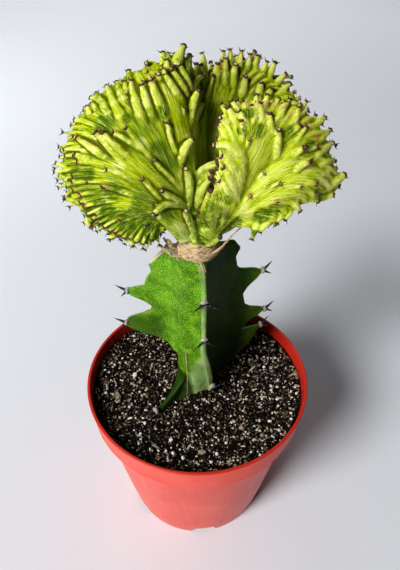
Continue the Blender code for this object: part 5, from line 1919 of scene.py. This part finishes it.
# Soft lights on the floor behind: place, aim, size, spread and share of the background power.
FLOOR_LIGHTS = [
    ("floor_far", Vector((-0.9, 1.9, 2.4)), Vector((-0.5, 1.5, 0.0)), 1.2, 60.0, 0.56),
    ("floor_near", Vector((-0.8, 0.5, 0.9)), Vector((-0.55, 0.55, 0.0)), 0.5, 75.0, 0.095),
    ("floor_right", Vector((0.9, 1.9, 2.4)), Vector((0.6, 1.5, 0.0)), 1.2, 60.0, 0.345),
]
FLOOR_SIZE = 8.0


def build_floor(looks):
    colour = tuple(looks.floor_colour)
    finish = Finish("floor", colour)
    darker = tuple(channel * 0.97 for channel in colour)
    finish.surface(finish.blend(finish.noise(6.0, 4.0), darker, colour), 0.6)
    bm = bmesh.new()
    bmesh.ops.create_grid(bm, x_segments=4, y_segments=4, size=FLOOR_SIZE / 2.0)
    floor = finish_mesh("floor", bm, finish.material)


def add_light(name, place, aim, size, power, spread=180.0):
    data = bpy.data.lights.new(name, "AREA")
    data.shape = "DISK"
    data.size = size
    data.energy = power
    data.spread = radians(spread)
    light = made_object(name, data)
    light.location = place
    light.rotation_euler = (aim - place).to_track_quat("-Z", "Y").to_euler()


def build_lights(looks):
    add_light("key", KEY_PLACE, KEY_AIM, KEY_SIZE, looks.key_power)
    for name, place, aim, size, spread, share in FLOOR_LIGHTS:
        add_light(name, place, aim, size, looks.back_power * share, spread)
    world = bpy.context.scene.world or bpy.data.worlds.new("sky")
    bpy.context.scene.world = world
    world.use_nodes = True
    background = world.node_tree.nodes["Background"]
    background.inputs["Color"].default_value = (0.93, 0.95, 1.0, 1.0)
    background.inputs["Strength"].default_value = looks.sky_strength


def build_camera():
    right, up, back, eye = camera_axes()
    data = bpy.data.cameras.new("camera")
    data.sensor_fit = "VERTICAL"
    data.sensor_height = 36.0
    data.sensor_width = data.sensor_height * PHOTO_SIZE[0] / PHOTO_SIZE[1]
    data.lens = data.sensor_height * FOCAL_PIXELS / PHOTO_SIZE[1]
    data.clip_start = 0.01
    camera = made_object("camera", data)
    turn = Matrix((right, up, back)).transposed().to_4x4()
    turn.translation = eye * MM
    camera.matrix_world = turn
    bpy.context.scene.camera = camera
    bpy.context.scene.view_settings.view_transform = "Standard"
    bpy.context.scene.view_settings.look = "Medium High Contrast"


class CactusLooks(bpy.types.PropertyGroup):
    pot: PointerProperty(type=PotLooks)
    soil: PointerProperty(type=SoilLooks)
    stock: PointerProperty(type=StockLooks)
    callus: PointerProperty(type=CallusLooks)
    crest: PointerProperty(type=CrestLooks)
    stage: PointerProperty(type=StageLooks)


class CACTUS_OT_pot(bpy.types.Operator):
    """Build the moulded plastic pot"""
    bl_idname = "cactus.build_pot"
    bl_label = "Pot"

    def execute(self, context):
        build_pot(context.scene.coral_cactus.pot)
        return {"FINISHED"}


class CACTUS_OT_soil(bpy.types.Operator):
    """Build the potting mix with its crumbs and perlite"""
    bl_idname = "cactus.build_soil"
    bl_label = "Potting mix"

    def execute(self, context):
        build_soil(context.scene.coral_cactus.soil)
        return {"FINISHED"}


class CACTUS_OT_stock(bpy.types.Operator):
    """Build the winged stem with its shields and spines"""
    bl_idname = "cactus.build_stock"
    bl_label = "Stock"

    def execute(self, context):
        build_stock(context.scene.coral_cactus.stock)
        return {"FINISHED"}


class CACTUS_OT_callus(bpy.types.Operator):
    """Build the dry collar of the graft"""
    bl_idname = "cactus.build_callus"
    bl_label = "Graft callus"

    def execute(self, context):
        build_callus(context.scene.coral_cactus.callus)
        return {"FINISHED"}


class CACTUS_OT_crest(bpy.types.Operator):
    """Build the crest with its areoles and spines"""
    bl_idname = "cactus.build_crest"
    bl_label = "Crest"

    def execute(self, context):
        build_crest(context.scene.coral_cactus.crest)
        return {"FINISHED"}


class CACTUS_OT_stage(bpy.types.Operator):
    """Build the floor, the lights and the camera"""
    bl_idname = "cactus.build_stage"
    bl_label = "Stage"

    def execute(self, context):
        looks = context.scene.coral_cactus.stage
        build_floor(looks)
        build_lights(looks)
        build_camera()
        return {"FINISHED"}


OPERATORS = (CACTUS_OT_pot, CACTUS_OT_soil, CACTUS_OT_stock, CACTUS_OT_callus, CACTUS_OT_crest,
             CACTUS_OT_stage)


class CACTUS_PT_panel(bpy.types.Panel):
    """Sizes, colours and build buttons"""
    bl_idname = "CACTUS_PT_panel"
    bl_label = "Potted Coral Cactus"
    bl_space_type = "VIEW_3D"
    bl_region_type = "UI"
    bl_category = "Cactus"

    def draw(self, context):
        looks = context.scene.coral_cactus
        for operator in OPERATORS:
            part = operator.bl_idname.rpartition("_")[2]
            box = self.layout.box()
            box.operator(operator.bl_idname)
            for name in getattr(looks, part).bl_rna.properties.keys():
                if name not in ("rna_type", "name"):
                    box.prop(getattr(looks, part), name)


CLASSES = (PotLooks, SoilLooks, StockLooks, CallusLooks, CrestLooks, StageLooks, CactusLooks,
           *OPERATORS, CACTUS_PT_panel)


def register():
    for each in CLASSES:
        bpy.utils.register_class(each)
    bpy.types.Scene.coral_cactus = PointerProperty(type=CactusLooks)


def unregister():
    del bpy.types.Scene.coral_cactus
    for each in reversed(CLASSES):
        bpy.utils.unregister_class(each)


def main():
    register()
    bpy.ops.cactus.build_stage()
    bpy.ops.cactus.build_pot()
    bpy.ops.cactus.build_soil()
    bpy.ops.cactus.build_stock()
    bpy.ops.cactus.build_callus()
    bpy.ops.cactus.build_crest()


if __name__ == "__main__":
    main()
